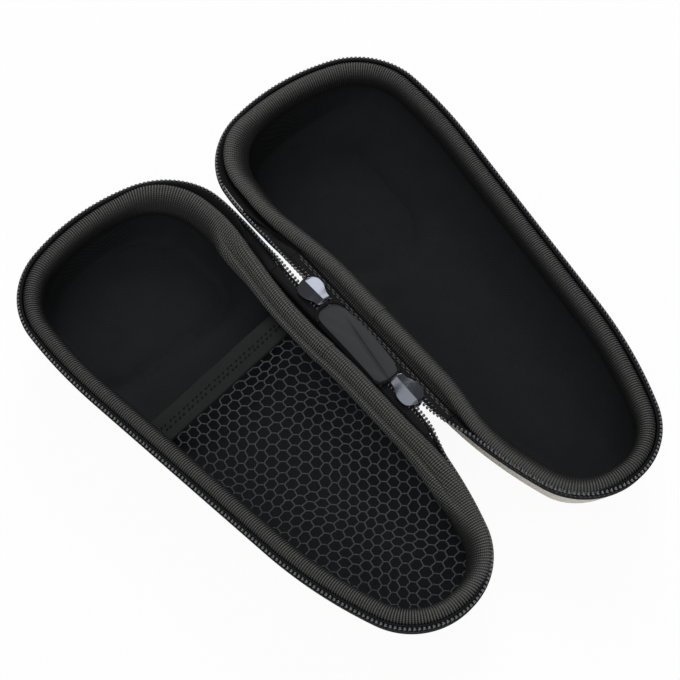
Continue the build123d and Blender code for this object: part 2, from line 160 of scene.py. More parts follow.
# how far a half lies off the hinge line: worked out with none, so that the gap is left
HALF_OFFSET = 0.0
HALF_OFFSET = HINGE_GAP - placed(ZIP_EDGE, np.linspace(6, 12, 4001))[:, 0].min()


def travelled(line):
    """Distance from a flat line's start to each of its points."""
    return np.append(0, np.cumsum(np.hypot(*np.diff(line, axis=0).T)))


def even_spots(egg, count, first=0.0, last=LAP):
    """Spots that cut an outline's run into count equal lengths, and that run's length in mm."""
    fine = np.linspace(first, last, FINE)
    so_far = travelled(outline(egg, fine)[0][0])
    goals = np.linspace(0, so_far[-1], count + 1)
    return np.interp(goals, so_far, fine), so_far[-1]


def placed_y(spots):
    """Height along Y, in millimetres, of the zip's edge at each spot."""
    return placed(ZIP_EDGE, spots)[:, 1]


def hinge_spot(egg, y):
    """Spot on the hinge side, seen from the base, where the placed outline passes height y."""
    fine = np.linspace(6.5, 11.9, FINE)
    return np.interp(-np.asarray(y, float), -placed(egg, fine)[:, 1], fine)


LAP_SPOT = float(hinge_spot(SHELL_EDGE, 1.0))     # where the ribbon's end laps over its start


def zip_lean(spots):
    """How far the zip leans out, in millimetres: a little over the hinge line beside the wide
    end, where the two zips stand close together, and a little in where the strip begins."""
    y = placed_y(spots)
    on_hinge_side = (np.asarray(spots) % LAP > 6.2) & (np.asarray(spots) % LAP < 9)
    out = 0.6 * smooth((y - 50) / 18) * smooth((92 - y) / 22)
    return np.where(on_hinge_side, out - 0.25 * smooth((y - 36) / 8) * smooth((54 - y) / 8), 0.0)


def at_depth(flat, depths):
    """Rows of flat points, each row at its own depth under the closing plane."""
    height = np.broadcast_to((CLOSING_HEIGHT - depths)[:, None, None], flat.shape[:2] + (1,))
    return np.concatenate([flat, height], -1)


def rim_rows(share, inset, depth, spots, side):
    """Rows round the rim, in metres. Each row's outline lies a share of the way from the shell's
    edge to the zip's edge, is drawn in by inset, and lies at depth under the closing plane."""
    share, inset, depth = np.broadcast_arrays(
        *[np.atleast_1d(np.asarray(v, float)) for v in (share, inset, depth)])
    eggs = SHELL_EDGE + share[:, None] * (ZIP_EDGE - SHELL_EDGE) - inset[:, None] * INSET
    flat, normals = outline(eggs, spots)
    flat = flat + normals * share[:, None, None] * zip_lean(spots)[:, None]
    return on_half(at_depth(flat, depth), side)


def smooth(t):
    """Smooth step: 3 t^2 - 2 t^3 between 0 and 1."""
    t = np.clip(t, 0, 1)
    return t * t * (3 - 2 * t)


def bezier(controls, t):
    """Points of the Bezier curve whose weights are n! / (k! (n - k)!) t^k (1 - t)^(n - k)."""
    controls = np.asarray(controls, float)
    n = len(controls) - 1
    k = np.arange(n + 1)
    count = np.array([math.comb(n, i) for i in k])
    weight = count * t[:, None] ** k * (1 - t[:, None]) ** (n - k)
    return weight @ controls


# ---- meshes ---------------------------------------------------------------------------------

def piece(name, points, faces, finish, uv=None):
    """Object at the origin from points in metres, faces and one UV pair for each point."""
    mesh = bpy.data.meshes.new(name)
    mesh.from_pydata(np.asarray(points).reshape(-1, 3), [], faces)
    if uv is not None:
        corner = np.empty(len(mesh.loops), int)
        mesh.loops.foreach_get("vertex_index", corner)
        layer = mesh.uv_layers.new(name="cloth_mm")
        layer.data.foreach_set("uv", np.asarray(uv).reshape(-1, 2)[corner].ravel())
    mesh.materials.append(finish)
    mesh.shade_smooth()
    mesh.update()
    made = bpy.data.objects.new(name, mesh)
    bpy.context.scene.collection.objects.link(made)
    return made


def grid_faces(rows, cols, wrap_rows=False, wrap_cols=False, flip=False):
    """Quads between neighbouring rows and columns of a grid of points."""
    r = np.arange(rows if wrap_rows else rows - 1)[:, None]
    c = np.arange(cols if wrap_cols else cols - 1)[None, :]
    here, up = r * cols, (r + 1) % rows * cols
    right = (c + 1) % cols
    quads = np.stack(np.broadcast_arrays(here + c, here + right, up + right, up + c), -1)
    quads = quads.reshape(-1, 4)
    return quads[:, ::-1] if flip else quads


def bar_faces(rows, cols, flip=False):
    """Faces of a closed bar: its rows go round it, its columns along it, and it has end caps."""
    ends = np.arange(rows) * cols
    caps = [ends.tolist(), (ends[::-1] + cols - 1).tolist()]
    faces = grid_faces(rows, cols, wrap_rows=True, flip=flip).tolist()
    return faces + (caps if flip else [cap[::-1] for cap in caps])


def fan(row_start, cols, pole, flip=False):
    """Triangles from one closed row of a grid to a pole."""
    c = np.arange(cols)
    tris = np.stack([row_start + c, row_start + (c + 1) % cols, np.full(cols, pole)], -1)
    return tris[:, ::-1] if flip else tris


def tube(lines, radius, around=6, up=(0, 0, 1), stretch=1.0):
    """Tubes carried along lines, given as (tube, station, xyz) in metres. A ring's point is
    centre + radius * (cos a * side + sin a * over), where side is the line's direction crossed
    with up, and over is side crossed with the direction. stretch widens side. The ends are
    capped. Gives points and faces."""
    lines = np.asarray(lines, float)
    if lines.ndim == 2:
        lines = lines[None]
    tubes, stations = lines.shape[:2]
    ahead, behind = np.roll(lines, -1, 1), np.roll(lines, 1, 1)
    ahead[:, -1], behind[:, 0] = lines[:, -1], lines[:, 0]
    along = ahead - behind
    along /= np.linalg.norm(along, axis=-1, keepdims=True) + 1e-12
    across = np.cross(along, np.broadcast_to(np.asarray(up, float), along.shape))
    across /= np.linalg.norm(across, axis=-1, keepdims=True) + 1e-12
    over = np.cross(across, along)
    angle = np.linspace(0, 2 * math.pi, around, endpoint=False)
    size = np.broadcast_to(np.asarray(radius, float), (tubes, stations))[..., None, None]
    wide = np.broadcast_to(stretch, (tubes, stations))
    ring = np.cos(angle)[:, None] * across[:, :, None] * wide[..., None, None]
    ring = ring + np.sin(angle)[:, None] * over[:, :, None]
    points = lines[:, :, None] + size * ring
    one = grid_faces(stations, around, wrap_cols=True)
    start = np.arange(tubes)[:, None, None] * stations * around
    faces = (one[None] + start).reshape(-1, 4).tolist()
    first = np.arange(around)[::-1] + start[:, 0]
    final = np.arange(around) + (stations - 1) * around + start[:, 0]
    faces += first.tolist() + final.tolist()
    return points.reshape(-1, 3), faces


def joined(parts):
    """One set of points and faces from several."""
    points, faces, count = [], [], 0
    for some, theirs in parts:
        points.append(some)
        faces += [[i + count for i in face] for face in
                  (theirs.tolist() if isinstance(theirs, np.ndarray) else theirs)]
        count += len(some)
    return np.concatenate(points), faces


def welded(points, faces):
    """The same faces with coincident points made one; faces that collapse are dropped."""
    keys, index = np.unique(np.round(points * 1e7), axis=0, return_inverse=True)
    index = index.ravel()
    kept = []
    for face in faces:
        ring = [int(index[i]) for i in face]
        ring = [v for k, v in enumerate(ring) if v != ring[k - 1]]
        if len(ring) > 2:
            kept.append(ring)
    return keys * 1e-7, kept


def plate(edge, low, high, bevel, ridge=0.0):
    """Closed plate over an outline given anticlockwise in millimetres: rounded edges, a level
    underside, and a top that climbs in straight lines to a ridge above the outline's middle."""
    ahead = np.roll(edge, -1, 0) - np.roll(edge, 1, 0)
    normal = np.stack([ahead[:, 1], -ahead[:, 0]], -1)
    normal /= np.linalg.norm(normal, axis=1, keepdims=True)
    middle = np.stack([0 * edge[:, 0], np.clip(edge[:, 1], edge[:, 1].min() + 1.5 * bevel,
                                               edge[:, 1].max() - 1.5 * bevel)], -1)
    high = np.broadcast_to(high, len(edge))
    crest = np.interp(middle[:, 1], np.sort(edge[:, 1]), high[np.argsort(edge[:, 1])]) + ridge
    rows = [np.column_stack([middle, np.full(len(edge), low)])]
    for a in np.linspace(0, math.pi / 2, 4):
        rows.append(np.column_stack([edge - normal * bevel * (1 - math.sin(a)),
                                     np.full(len(edge), low + bevel * (1 - math.cos(a)))]))
    for a in np.linspace(0, math.pi / 2, 4):
        rows.append(np.column_stack([edge - normal * bevel * (1 - math.cos(a)),
                                     high - bevel * (1 - math.sin(a))]))
    rows.append(np.column_stack([middle, crest]))
    faces = grid_faces(len(rows), len(edge), wrap_cols=True).tolist()
    return np.concatenate(rows), faces


def symmetric(right):
    """Closed anticlockwise outline from its right side, listed from front to rear."""
    left = right[::-1] * [-1, 1]
    return np.concatenate([right[::-1], left[::-1][1:-1]])


# ---- finishes -------------------------------------------------------------------------------

def add_node(tree, kind, inputs=None, **settings):
    """Add one node with its settings. An input is a value, or another node's output to link."""
    node = tree.nodes.new(kind)
    for key, value in settings.items():
        setattr(node, key, value)
    for key, value in (inputs or {}).items():
        if isinstance(value, bpy.types.NodeSocket):
            tree.links.new(value, node.inputs[key])
        else:
            node.inputs[key].default_value = value
    return node


def maths(tree, operation, *values):
    """Output of a math node."""
    return add_node(tree, "ShaderNodeMath", dict(enumerate(values)),
                    operation=operation).outputs[0]


def noise(tree, where, scale, detail, **inputs):
    """Value of a noise texture."""
    return add_node(tree, "ShaderNodeTexNoise", {
        "Vector": where, "Scale": scale, "Detail": detail, **inputs}).outputs[0]


def new_finish(name):
    """Empty material and its node tree."""
    finish = bpy.data.materials.new(name)
    finish.use_nodes = True
    finish.node_tree.nodes.clear()
    return finish, finish.node_tree


def rgba(colour):
    """The colour with an alpha of 1."""
    return (*colour, 1.0)


def darker(colour, share):
    """A share of a colour."""
    return tuple(share * c for c in colour)


def band_scale(period):
    """Scale of the wave texture whose bands repeat after a period, in the coordinate's unit."""
    return math.pi / (10 * period)


def plain_weave(tree, where, warp, weft):
    """Height from 0 to 1 of a plain weave: half of one plus the product of two sine bands, warp
    and weft millimetres apart."""
    bands = []
    for direction, period in (("X", warp), ("Y", weft)):
        wave = add_node(tree, "ShaderNodeTexWave", {"Vector": where, "Scale": band_scale(
            2 * period), "Distortion": 0.35, "Detail Scale": 1.5}, bands_direction=direction)
        bands.append(maths(tree, "MULTIPLY_ADD", wave.outputs[1], 2.0, -1.0))
    return maths(tree, "MULTIPLY_ADD", maths(tree, "MULTIPLY", *bands), 0.5, 0.5)


def shaded(tree, tone, low, high, shade, colour):
    """Colour that runs from the shade to the colour while the tone runs from low to high."""
    share = add_node(tree, "ShaderNodeMapRange", {
        "Value": tone, "From Min": low, "From Max": high})
    return add_node(tree, "ShaderNodeMix", {
        0: share.outputs[0], 6: rgba(shade), 7: rgba(colour)}, data_type="RGBA").outputs[2]


def surface(tree, height, strength, distance, inputs):
    """Ends a material: relief, in millimetres, the principled surface and the output."""
    relief = add_node(tree, "ShaderNodeBump", {
        "Height": height, "Strength": strength, "Distance": distance * MM})
    skin = add_node(tree, "ShaderNodeBsdfPrincipled", {"Normal": relief.outputs[0], **inputs})
    add_node(tree, "ShaderNodeOutputMaterial", {"Surface": skin.outputs[0]})


def cloth(name, colour, shade, thread, roughness, bump, fleck=0.15, specular=0.5):
    """Plain woven cloth on its own UV map in millimetres: the colour on the crowns of the threads
    and the shade between them, with slow flecks of wear."""
    finish, tree = new_finish(name)
    where = add_node(tree, "ShaderNodeTexCoord").outputs["UV"]
    weave = plain_weave(tree, where, *thread)
    worn = noise(tree, where, 0.11, 4.0, Roughness=0.6)
    fibre = noise(tree, where, 2.6, 2.0)
    tone = maths(tree, "MULTIPLY_ADD", fibre, 0.5, weave)
    tone = maths(tree, "MULTIPLY_ADD", worn, fleck * 2, tone)
    colour = shaded(tree, tone, 0.25 + fleck, 1.1 + fleck, shade, colour)
    surface(tree, tone, bump, 0.12, {
        "Base Color": colour, "Roughness": roughness, "Specular IOR Level": specular})
    return finish


def ribbon(name, colour, shade):
    """Grosgrain ribbon, woven polyester: thick cross ribs, one for each unit of U, whose crowns
    are painted lighter as a painted highlight and whose grooves nearly black as painted shade;
    fine warp threads cross them. Its inner flank, where it runs into the cavity, is painted
    darker: painted shade."""
    finish, tree = new_finish(name)
    where = add_node(tree, "ShaderNodeTexCoord").outputs["UV"]
    ribs = add_node(tree, "ShaderNodeTexWave", {
        "Vector": where, "Scale": band_scale(1.0), "Phase Offset": -math.pi / 2},
        bands_direction="X").outputs[1]
    warp = add_node(tree, "ShaderNodeTexWave", {
        "Vector": where, "Scale": band_scale(0.5), "Distortion": 0.6}, bands_direction="Y")
    fibre = noise(tree, where, 1.7, 3.0, Roughness=0.7)
    crossed = maths(tree, "MULTIPLY_ADD", warp.outputs[1], 0.45, 0.55)
    crown = maths(tree, "MULTIPLY_ADD", fibre, 0.45, maths(tree, "MULTIPLY", crossed, ribs))
    across = add_node(tree, "ShaderNodeSeparateXYZ", {0: where}).outputs["Y"]
    # painted shade: the ribbon is painted darker across its inner flank, from 8 to 11.5 mm across
    # its V
    painted_inner_shade = add_node(tree, "ShaderNodeMapRange", {
        "Value": across, "From Min": 8.0, "From Max": 11.5, "To Max": 0.55})
    crown = maths(tree, "SUBTRACT", crown, painted_inner_shade.outputs[0])
    colour = shaded(tree, crown, 0.55, 1.2, shade, colour)
    surface(tree, crown, 0.5, 0.08, {
        "Base Color": colour, "Roughness": 0.55, "Specular IOR Level": 0.25})
    return finish


ROUGHNESS_GRAIN = 0.2            # how far a smooth material's roughness strays, as a share


def moulded(name, colour, roughness, metallic=0.0, specular=0.5):
    """Smooth material with a little grain in its roughness, on Object coordinates."""
    finish, tree = new_finish(name)
    where = add_node(tree, "ShaderNodeTexCoord").outputs["Object"]
    speck = noise(tree, where, 900.0, 3.0, Roughness=0.6)
    rough = add_node(tree, "ShaderNodeMapRange", {
        "Value": speck, "From Min": 0.3, "From Max": 0.7,
        "To Min": roughness * (1 - ROUGHNESS_GRAIN),
        "To Max": roughness * (1 + ROUGHNESS_GRAIN)})
    surface(tree, speck, 0.02, 0.03, {
        "Base Color": rgba(colour), "Roughness": rough.outputs[0], "Metallic": metallic,
        "Specular IOR Level": specular})
    return finish


FINISHES = {}


def make_finishes(colours):
    """All materials of the case, from the colours in the panel."""
    FINISHES.update(
        # EVA foam faced with woven polyester: matt, pale threads with darker gaps
        wall=cloth("polyester_canvas_on_eva_foam", colours.wall, darker(colours.wall, 0.55),
                   (0.55, 0.55), 0.85, bump=0.5, fleck=0.1),
        # brushed polyester knit bonded inside the shells: nearly black, soft, no gloss
        lining=cloth("brushed_polyester_lining", colours.lining, darker(colours.lining, 0.45),
                     (0.4, 0.4), 0.95, bump=0.25, fleck=0.25, specular=0.12),
        # zip tape, woven polyester: tight and smooth
        tape=cloth("woven_polyester_zip_tape", colours.tape, darker(colours.tape, 0.4),
                   (0.35, 0.5), 0.75, bump=0.3, specular=0.12),
        # grosgrain ribbon, woven polyester: thick cross ribs with crowns painted light and
        # grooves painted dark, and painted shade on its inner flank
        binding=ribbon("grosgrain_polyester_ribbon", colours.binding,
                       darker(colours.binding, 0.06)),
        # elastic webbing, woven polyester and rubber: flat, with a dusty bloom
        elastic=cloth("woven_elastic_webbing", colours.elastic, darker(colours.elastic, 0.5),
                      (0.45, 0.3), 0.85, bump=0.5, fleck=0.35, specular=0.15),
        # warp knit polyester net: matt multifilament thread
        net=cloth("warp_knit_polyester_net", colours.net, darker(colours.net, 0.5),
                  (0.3, 0.2), 0.7, bump=0.6, fleck=0.2, specular=0.25),
        # polyester satin: long floats give a soft gloss
        satin=cloth("polyester_satin", colours.satin, darker(colours.satin, 0.85),
                    (0.25, 0.6), 0.6, bump=0.1, fleck=0.06, specular=0.2),
        # nylon monofilament zip coil: dark grey and glossy
        coil=moulded("nylon_monofilament_coil", colours.coil, 0.15, specular=1.0),
        # sewing thread, polyester
        thread=moulded("polyester_sewing_thread", colours.thread, 0.5),
        # the same thread in black, in the needle holes of the elastic
        black_thread=moulded("black_polyester_sewing_thread", darker(colours.thread, 0.08), 0.7,
                             specular=0.1),
        # die cast zinc with a dark nickel plating: smooth, blue grey reflections
        metal=moulded("dark_nickel_on_zinc", colours.metal, 0.16, metallic=1.0),
    )


# ---- shells and linings ---------------------------------------------------------------------

UNDER_SEAT_INSET = 4.4
LINING_THICK = 0.8
COLLAR_HEIGHT = 5.0
EDGE_WALL = 2.0
BINDING_BOTTOM = 6.2
NOSE_SHRINK = 0.62
EXIT_SHRINK = 0.42
# flat back and cavity floor: drawn in along the flanks, at the wide end and at the nose
OUTER_RUNS = np.array([13.4, 8.0, 14.5])
CAVITY_RUNS = np.array([21.0, 10.5, 13.0])
OUTER_DRAFTS = (0.5, 0.15)      # straight share of the wall, hinge flank last
CAVITY_DRAFTS = (0.22, 0.22)
OUTER_LEAN = 4.6                # the back lies this much nearer the hinge
WELL_SOFTNESS = 3.4
GROOVE_DEPTH, GROOVE_RUN = {"base": 0.25, "lid": 1.1}, 3.2

HALVES = {                       # side, handle floor, head floor
    "base": (1, 20.0, 24.0),
    "lid": (-1, 16.5, 18.5),
}
# head recess: length from the wide end, insets on the free side, the hinge side and the end,
# corner radius, and run of its slope for each millimetre of depth
WELLS = {
    "base": (67.0, 24.0, 13.0, 9.0, 17.0, 1.4),
    "lid": (51.0, 5.0, 8.0, 4.0, 14.0, 1.2),
}
ROUND = 360                      # columns round a half
BEHIND_LINING = 0.05             # room between the lining's back and the foam
INSIDE_SHIFT = 300.0             # how far along its UV map the wall's inside lies


def drawn_in(runs):
    """The shell's edge drawn in by its own run at each flank and at each end."""
    side, wide, nose = runs
    egg = SHELL_EDGE - wide * INSET
    egg[NOSE_Y] = SHELL_EDGE[NOSE_Y] + nose
    egg[FREE_HALF] = SHELL_EDGE[FREE_HALF] - side
    egg[HINGE_HALF] = SHELL_EDGE[HINGE_HALF] - side
    egg[NOSE_RADIUS] = SHELL_EDGE[NOSE_RADIUS] - nose - (1 - NOSE_SHRINK) * (side - nose)
    egg[NOSE_EXIT] -= EXIT_SHRINK * (side - nose)
    return egg


def bowl_rows(top, floor, top_depth, floor_depth, drafts, rows, lean=0.0):
    """Outlines, depths and sideways leans down a bowl. With drop from 0 to 1, the share of the
    way to the floor's outline is draft * drop + (1 - draft) * (1 - sqrt(1 - drop^2))."""
    drop = np.sin(np.linspace(0, math.pi / 2, rows))[:, None]
    draft = np.full(9, drafts[0])
    draft[HINGE_HALF] = drafts[1]
    share = draft * drop + (1 - draft) * (1 - np.sqrt(1 - drop ** 2))
    depths = top_depth + (floor_depth - top_depth) * drop[:, 0]
    return top + share * (floor - top), depths, -lean * share[:, 0]


def with_well(xyz, half, head_depth, grow):
    """Sinks the recess for the shaver's head: the depth is the smooth greater of the bowl's depth
    and of a rounded rectangle's floor that climbs at the recess's slope outside it, with a soft
    groove, a bell curve of the distance, along its edge by the step. The wall near the rim keeps
    its own depth."""
    step, in_free, in_hinge, in_end, corner, slope = WELLS[half]
    free, hinge = SHELL_EDGE[FREE_HALF] - in_free, SHELL_EDGE[HINGE_HALF] - in_hinge
    centre_x = (free - hinge) / 2
    reach = np.array([free + hinge, step - in_end]) / 2
    centre = np.array([centre_x, SHELL_EDGE[WIDE_Y] - in_end - reach[1]])
    beyond = np.abs(xyz[..., :2] - centre) - (reach - corner)
    away = np.hypot(*np.moveaxis(np.maximum(beyond, 0), -1, 0))
    away += np.minimum(beyond.max(-1), 0) - corner
    well = head_depth + grow - np.maximum(away, 0) / slope
    bowl = CLOSING_HEIGHT - xyz[..., 2]
    near = np.maximum(1 - np.abs(bowl - well) / WELL_SOFTNESS, 0)
    deep = np.maximum(bowl, well) + near ** 2 * WELL_SOFTNESS / 4
    near_step = smooth((SHELL_EDGE[WIDE_Y] - step + 30 - xyz[..., 1]) / 22)
    deep += GROOVE_DEPTH[half] * near_step * np.exp(-((away + 1) / GROOVE_RUN) ** 2)
    held = smooth((bowl - BINDING_BOTTOM - 1) / 7)
    out = xyz.copy()
    out[..., 2] = CLOSING_HEIGHT - bowl - held * (deep - bowl)
    return out


def cup(eggs, depths, leans, spots, floor_rows):
    """Local points of a bowl's rows, then of floor rows that shrink evenly to a last tiny one,
    and the flat cut: the floor as it is, with the wall's rows laid out along its normals."""
    flat, normals = outline(eggs, spots)
    flat[..., 0] += leans[:, None]
    wall = at_depth(flat, depths)
    middle = flat[-1].mean(0)
    shrink = np.cos(np.linspace(0, math.pi / 2, floor_rows + 1)[1:])[:, None, None] ** 1.2
    shrink = np.maximum(shrink, 0.004)
    floor = np.empty((floor_rows, len(spots), 3))
    floor[..., :2] = middle + (flat[-1] - middle) * shrink
    floor[..., 2] = CLOSING_HEIGHT - depths[-1]
    steps = np.linalg.norm(np.diff(wall, axis=0), axis=-1)
    climb = np.append(np.cumsum(steps[::-1], axis=0)[::-1], np.zeros((1, len(spots))), 0)
    cut = flat[-1] + normals[-1] * climb[..., None]
    return np.concatenate([wall, floor]), np.concatenate([cut, floor[..., :2]])


def cavity_rows(handle_depth, grow):
    """Rows of the lining's bowl, or of one that lies grow millimetres behind it."""
    top = SHELL_EDGE - (UNDER_SEAT_INSET + LINING_THICK - grow) * INSET
    floor = drawn_in(CAVITY_RUNS - grow)
    return bowl_rows(top, floor, BINDING_BOTTOM, handle_depth + grow, CAVITY_DRAFTS, 26)


def make_wall(half):
    """Foam wall of one half, closed: from the middle of the back, up outside, over the edge, down
    behind the lining to the middle of the floor."""
    side, handle, head = HALVES[half]
    spots = even_spots(SHELL_EDGE, ROUND)[0][:-1]
    outer = bowl_rows(SHELL_EDGE, drawn_in(OUTER_RUNS), COLLAR_HEIGHT, CLOSING_HEIGHT,
                      OUTER_DRAFTS, 30, OUTER_LEAN)
    lip = np.array([[0.2, 5.02], [1.0, 5.04], [EDGE_WALL - 0.1, 5.08], [EDGE_WALL, 6.1],
                    [UNDER_SEAT_INSET - 0.05, BINDING_BOTTOM]])
    out_xyz, out_cut = cup(*outer, spots, 14)
    in_xyz, in_cut = cup(*cavity_rows(handle, LINING_THICK + BEHIND_LINING), spots, 30)
    in_xyz = with_well(in_xyz, half, head, LINING_THICK + BEHIND_LINING)
    flat, normals = outline(SHELL_EDGE - lip[:, :1] * INSET, spots)
    lip_xyz = at_depth(flat, lip[:, 1])
    lip_cut = out_cut[0] + normals * lip[:, :1, None] * 1.5
    rows = np.concatenate([out_xyz[::-1], lip_xyz, in_xyz])
    cut = np.concatenate([out_cut[::-1], lip_cut, in_cut + [INSIDE_SHIFT, 0]])
    count, cols = rows.shape[:2]
    poles = np.array([out_xyz[-1].mean(0), in_xyz[-1].mean(0)])
    points = np.concatenate([rows.reshape(-1, 3), poles])
    uv = np.concatenate([cut.reshape(-1, 2), poles[:, :2] + [[0, 0], [INSIDE_SHIFT, 0]]])
    flip = side < 0
    faces = grid_faces(count, cols, wrap_cols=True, flip=flip).tolist()
    faces += fan(0, cols, len(points) - 2, not flip).tolist()
    faces += fan((count - 1) * cols, cols, len(points) - 1, flip).tolist()
    made = piece(f"{half}_moulded_wall", on_half(points, side), faces, FINISHES["wall"], uv)
    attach(made, half)
    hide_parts(f"{half}_shell")


def make_lining(half):
    """Lining cloth inside one half: a bowl with the head's recess, whose edge runs in under the
    binding.
    """
    side, handle, head = HALVES[half]
    spots = even_spots(SHELL_EDGE, ROUND)[0][:-1]
    xyz, cut = cup(*cavity_rows(handle, 0.0), spots, 44)
    xyz = with_well(xyz, half, head, 0.0)
    count, cols = xyz.shape[:2]
    pole = xyz[-1].mean(0)
    points = np.concatenate([xyz.reshape(-1, 3), pole[None]])
    uv = np.concatenate([cut.reshape(-1, 2), pole[None, :2]])
    flip = side < 0
    faces = grid_faces(count, cols, wrap_cols=True, flip=flip).tolist()
    faces += fan((count - 1) * cols, cols, len(points) - 1, flip).tolist()
    made = piece(f"{half}_inner_cloth", on_half(points, side), faces, FINISHES["lining"], uv)
    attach(made, half)
    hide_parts(f"{half}_lining")


# ---- zip tape and coil ----------------------------------------------------------------------

HINGE_TOP, HINGE_LOW = 35.4, -40.8       # ends of the hinge strip along Y
RUN_TOP, RUN_LOW = 46.0, -52.0           # where the zip is wholly on its half again
WEB_TOP, WEB_LOW = 60.0, -66.0           # ends of the cloth that closes the collar
EASE_TOP, EASE_LOW = 26.0, -31.3         # where a strand starts to leave its straight run
STRIP_Z = 25.5
STRAND_X = 1.1 + 0.98                    # half the gap between the strands, and half a coil
COIL_INSET, COIL_DEPTH = 0.5, 1.45       # of the coil's line: from the zip's edge, and down
TAPE_FOOT = 0.14                         # least height of the collar, as a share
VALLEY = 4.35                            # depth of the tape's valley, where the collar starts
HEAD_SWELL, BACK_SWELL = 0.95, 0.3       # growth of the filament at a turn's two bends


def collar_height(spots):
    """Share of its full height that the collar has: 1 round the case, falling slowly to a low
    foot beside the hinge, under the web's cloth."""
    y = placed_y(spots)
    on_hinge_side = (np.asarray(spots) % LAP > 7) & (np.asarray(spots) % LAP < 11.6)
    top = smooth((y - HINGE_TOP) / (WEB_TOP - HINGE_TOP))
    low = smooth((HINGE_LOW - y) / (HINGE_LOW - WEB_LOW))
    share = np.where(on_hinge_side, np.maximum(top, low), 1.0)
    return TAPE_FOOT + (1 - TAPE_FOOT) * share


def make_tape(half):
    """Zip tape of one half: a closed profile, carried round, that laps over the shell's edge,
    turns up in a soft valley and stands to the coil. Height along the collar is scaled by its
    share."""
    side = HALVES[half][0]
    spots = even_spots(ZIP_EDGE, ROUND)[0][:-1]
    # share towards the zip's edge, inset and depth of each row of the profile
    profile = np.array([
        [0.0, 2.6, 4.42], [0.0, 2.2, 4.40], [0.0, 1.7, 4.36], [0.05, 1.3, 4.2],
        [0.16, 1.12, 3.9], [0.35, 1.05, 3.4], [0.55, 1.2, 2.5], [0.78, 1.45, 1.4],
        [1.0, 1.62, 0.52], [1.0, 1.5, 0.36], [1.0, 1.2, 0.36], [1.0, 0.98, 0.5],
        [0.78, 0.72, 1.4], [0.5, 0.42, 2.7], [0.2, 0.06, 4.1], [0.0, -0.2, 4.7],
        [0.0, -0.22, 5.3], [0.0, -0.1, 5.7], [0.0, 0.1, 5.7], [0.0, 0.35, 5.0],
        [0.0, 1.5, 5.0], [0.0, 2.6, 4.98]])
    height = collar_height(spots)
    share = profile[:, :1] * height
    depth = COLLAR_HEIGHT - (COLLAR_HEIGHT - profile[:, 2:]) * np.where(
        profile[:, 2:] < VALLEY, height, 1.0)
    depth = np.where(profile[:, 2:] < VALLEY, np.minimum(depth, 4.39), depth)
    inset = np.broadcast_to(profile[:, 1:2], share.shape)
    rows, cols = share.shape
    eggs = SHELL_EDGE + share[..., None] * (ZIP_EDGE - SHELL_EDGE) - inset[..., None] * INSET
    flat = np.stack([outline(eggs[:, c], spots[c:c + 1])[0][:, 0] for c in range(cols)], 1)
    flat += outline(ZIP_EDGE, spots)[1] * (share * zip_lean(spots))[..., None]
    xyz = np.concatenate([flat, (CLOSING_HEIGHT - depth)[..., None]], -1)
    length = even_spots(ZIP_EDGE, ROUND)[1]
    across = travelled(profile[:, 1:])
    uv = np.stack(np.broadcast_arrays(
        np.arange(cols) * length / cols, across[:, None]), -1)
    faces = grid_faces(rows, cols, wrap_rows=True, wrap_cols=True, flip=side > 0)
    made = piece(f"{half}_zip_tape_cloth", on_half(xyz, side), faces, FINISHES["tape"], uv)
    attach(made, half)
    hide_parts(f"{half}_zip_tape")


def coil(path, heads, faces_out, turns, filament, tall, thick):
    """Helix of nylon filament: point = path + tall * cos(2 pi t) * head + thick * sin(2 pi t) *
    outer face, one turn for each tooth; the filament is widened along the path at both bends.
    Gives it, and the sewn cord that covers the turns between their bends."""
    per_turn = 12
    t = np.linspace(0, turns, turns * per_turn + 1)
    known = np.linspace(0, turns, len(path))
    along = np.stack([np.interp(t, known, path[:, i]) for i in range(3)], -1)
    head = np.stack([np.interp(t, known, heads[:, i]) for i in range(3)], -1)
    face = np.stack([np.interp(t, known, faces_out[:, i]) for i in range(3)], -1)
    head /= np.linalg.norm(head, axis=-1, keepdims=True)
    face /= np.linalg.norm(face, axis=-1, keepdims=True)
    angle = 2 * math.pi * t[:, None]
    # flattened turn: the legs run close to straight between heads and back
    line = along + tall * np.cos(angle) * head + thick * np.sin(angle) * face
    turn = np.cos(angle[:, 0])
    size = 0.75 + np.where(turn > 0, HEAD_SWELL, BACK_SWELL) * np.abs(turn) ** 6
    bulge = 1 + 0.1 * np.maximum(turn, 0) ** 4
    run = np.gradient(along, axis=0)
    run /= np.linalg.norm(run, axis=-1, keepdims=True)
    up = np.cross(run, np.gradient(line, axis=0))
    wire = tube(line, filament * size, around=6, up=up[None], stretch=bulge[None])
    section = np.array([[-0.4, 0.0], [-0.3, 0.6], [0.3, 0.6], [0.42, 0.0], [0.3, -0.6],
                        [-0.3, -0.6]])
    few = slice(None, None, 4)       # the cord needs no more than every fourth point
    cord = along[few] + (section[:, :1, None] * tall * head[few]
                         + section[:, 1:, None] * MM * face[few])
    right_handed = float(np.sum(np.cross(head[0], face[0]) * run[0])) > 0
    return wire, (cord.reshape(-1, 3), bar_faces(*cord.shape[:2], flip=not right_handed))


def strand_path(y, side):
    """Centre line of a strand on the hinge strip: straight between the sliders, then easing out
    to meet its half's zip edge at each end."""
    spot = hinge_spot(ZIP_EDGE - COIL_INSET * INSET, y)
    rim = rim_rows(1.0, COIL_INSET, 0.0, spot, 1)[0] / MM
    ease = np.maximum(smooth((y - EASE_TOP) / (RUN_TOP - EASE_TOP)),
                      smooth((EASE_LOW - y) / (EASE_LOW - RUN_LOW)))
    x = STRAND_X + (rim[:, 0] - STRAND_X) * ease
    z = STRIP_Z + (CLOSING_HEIGHT - COIL_DEPTH - STRIP_Z) * ease
    turn = ease * math.pi / 2
    zero = np.zeros_like(y)
    heads = np.stack([-side * np.cos(turn), zero, np.sin(turn)], -1)
    outer = np.stack([-side * np.sin(turn), zero, -np.cos(turn)], -1)
    return np.stack([side * x, y, z], -1) * MM, heads, outer


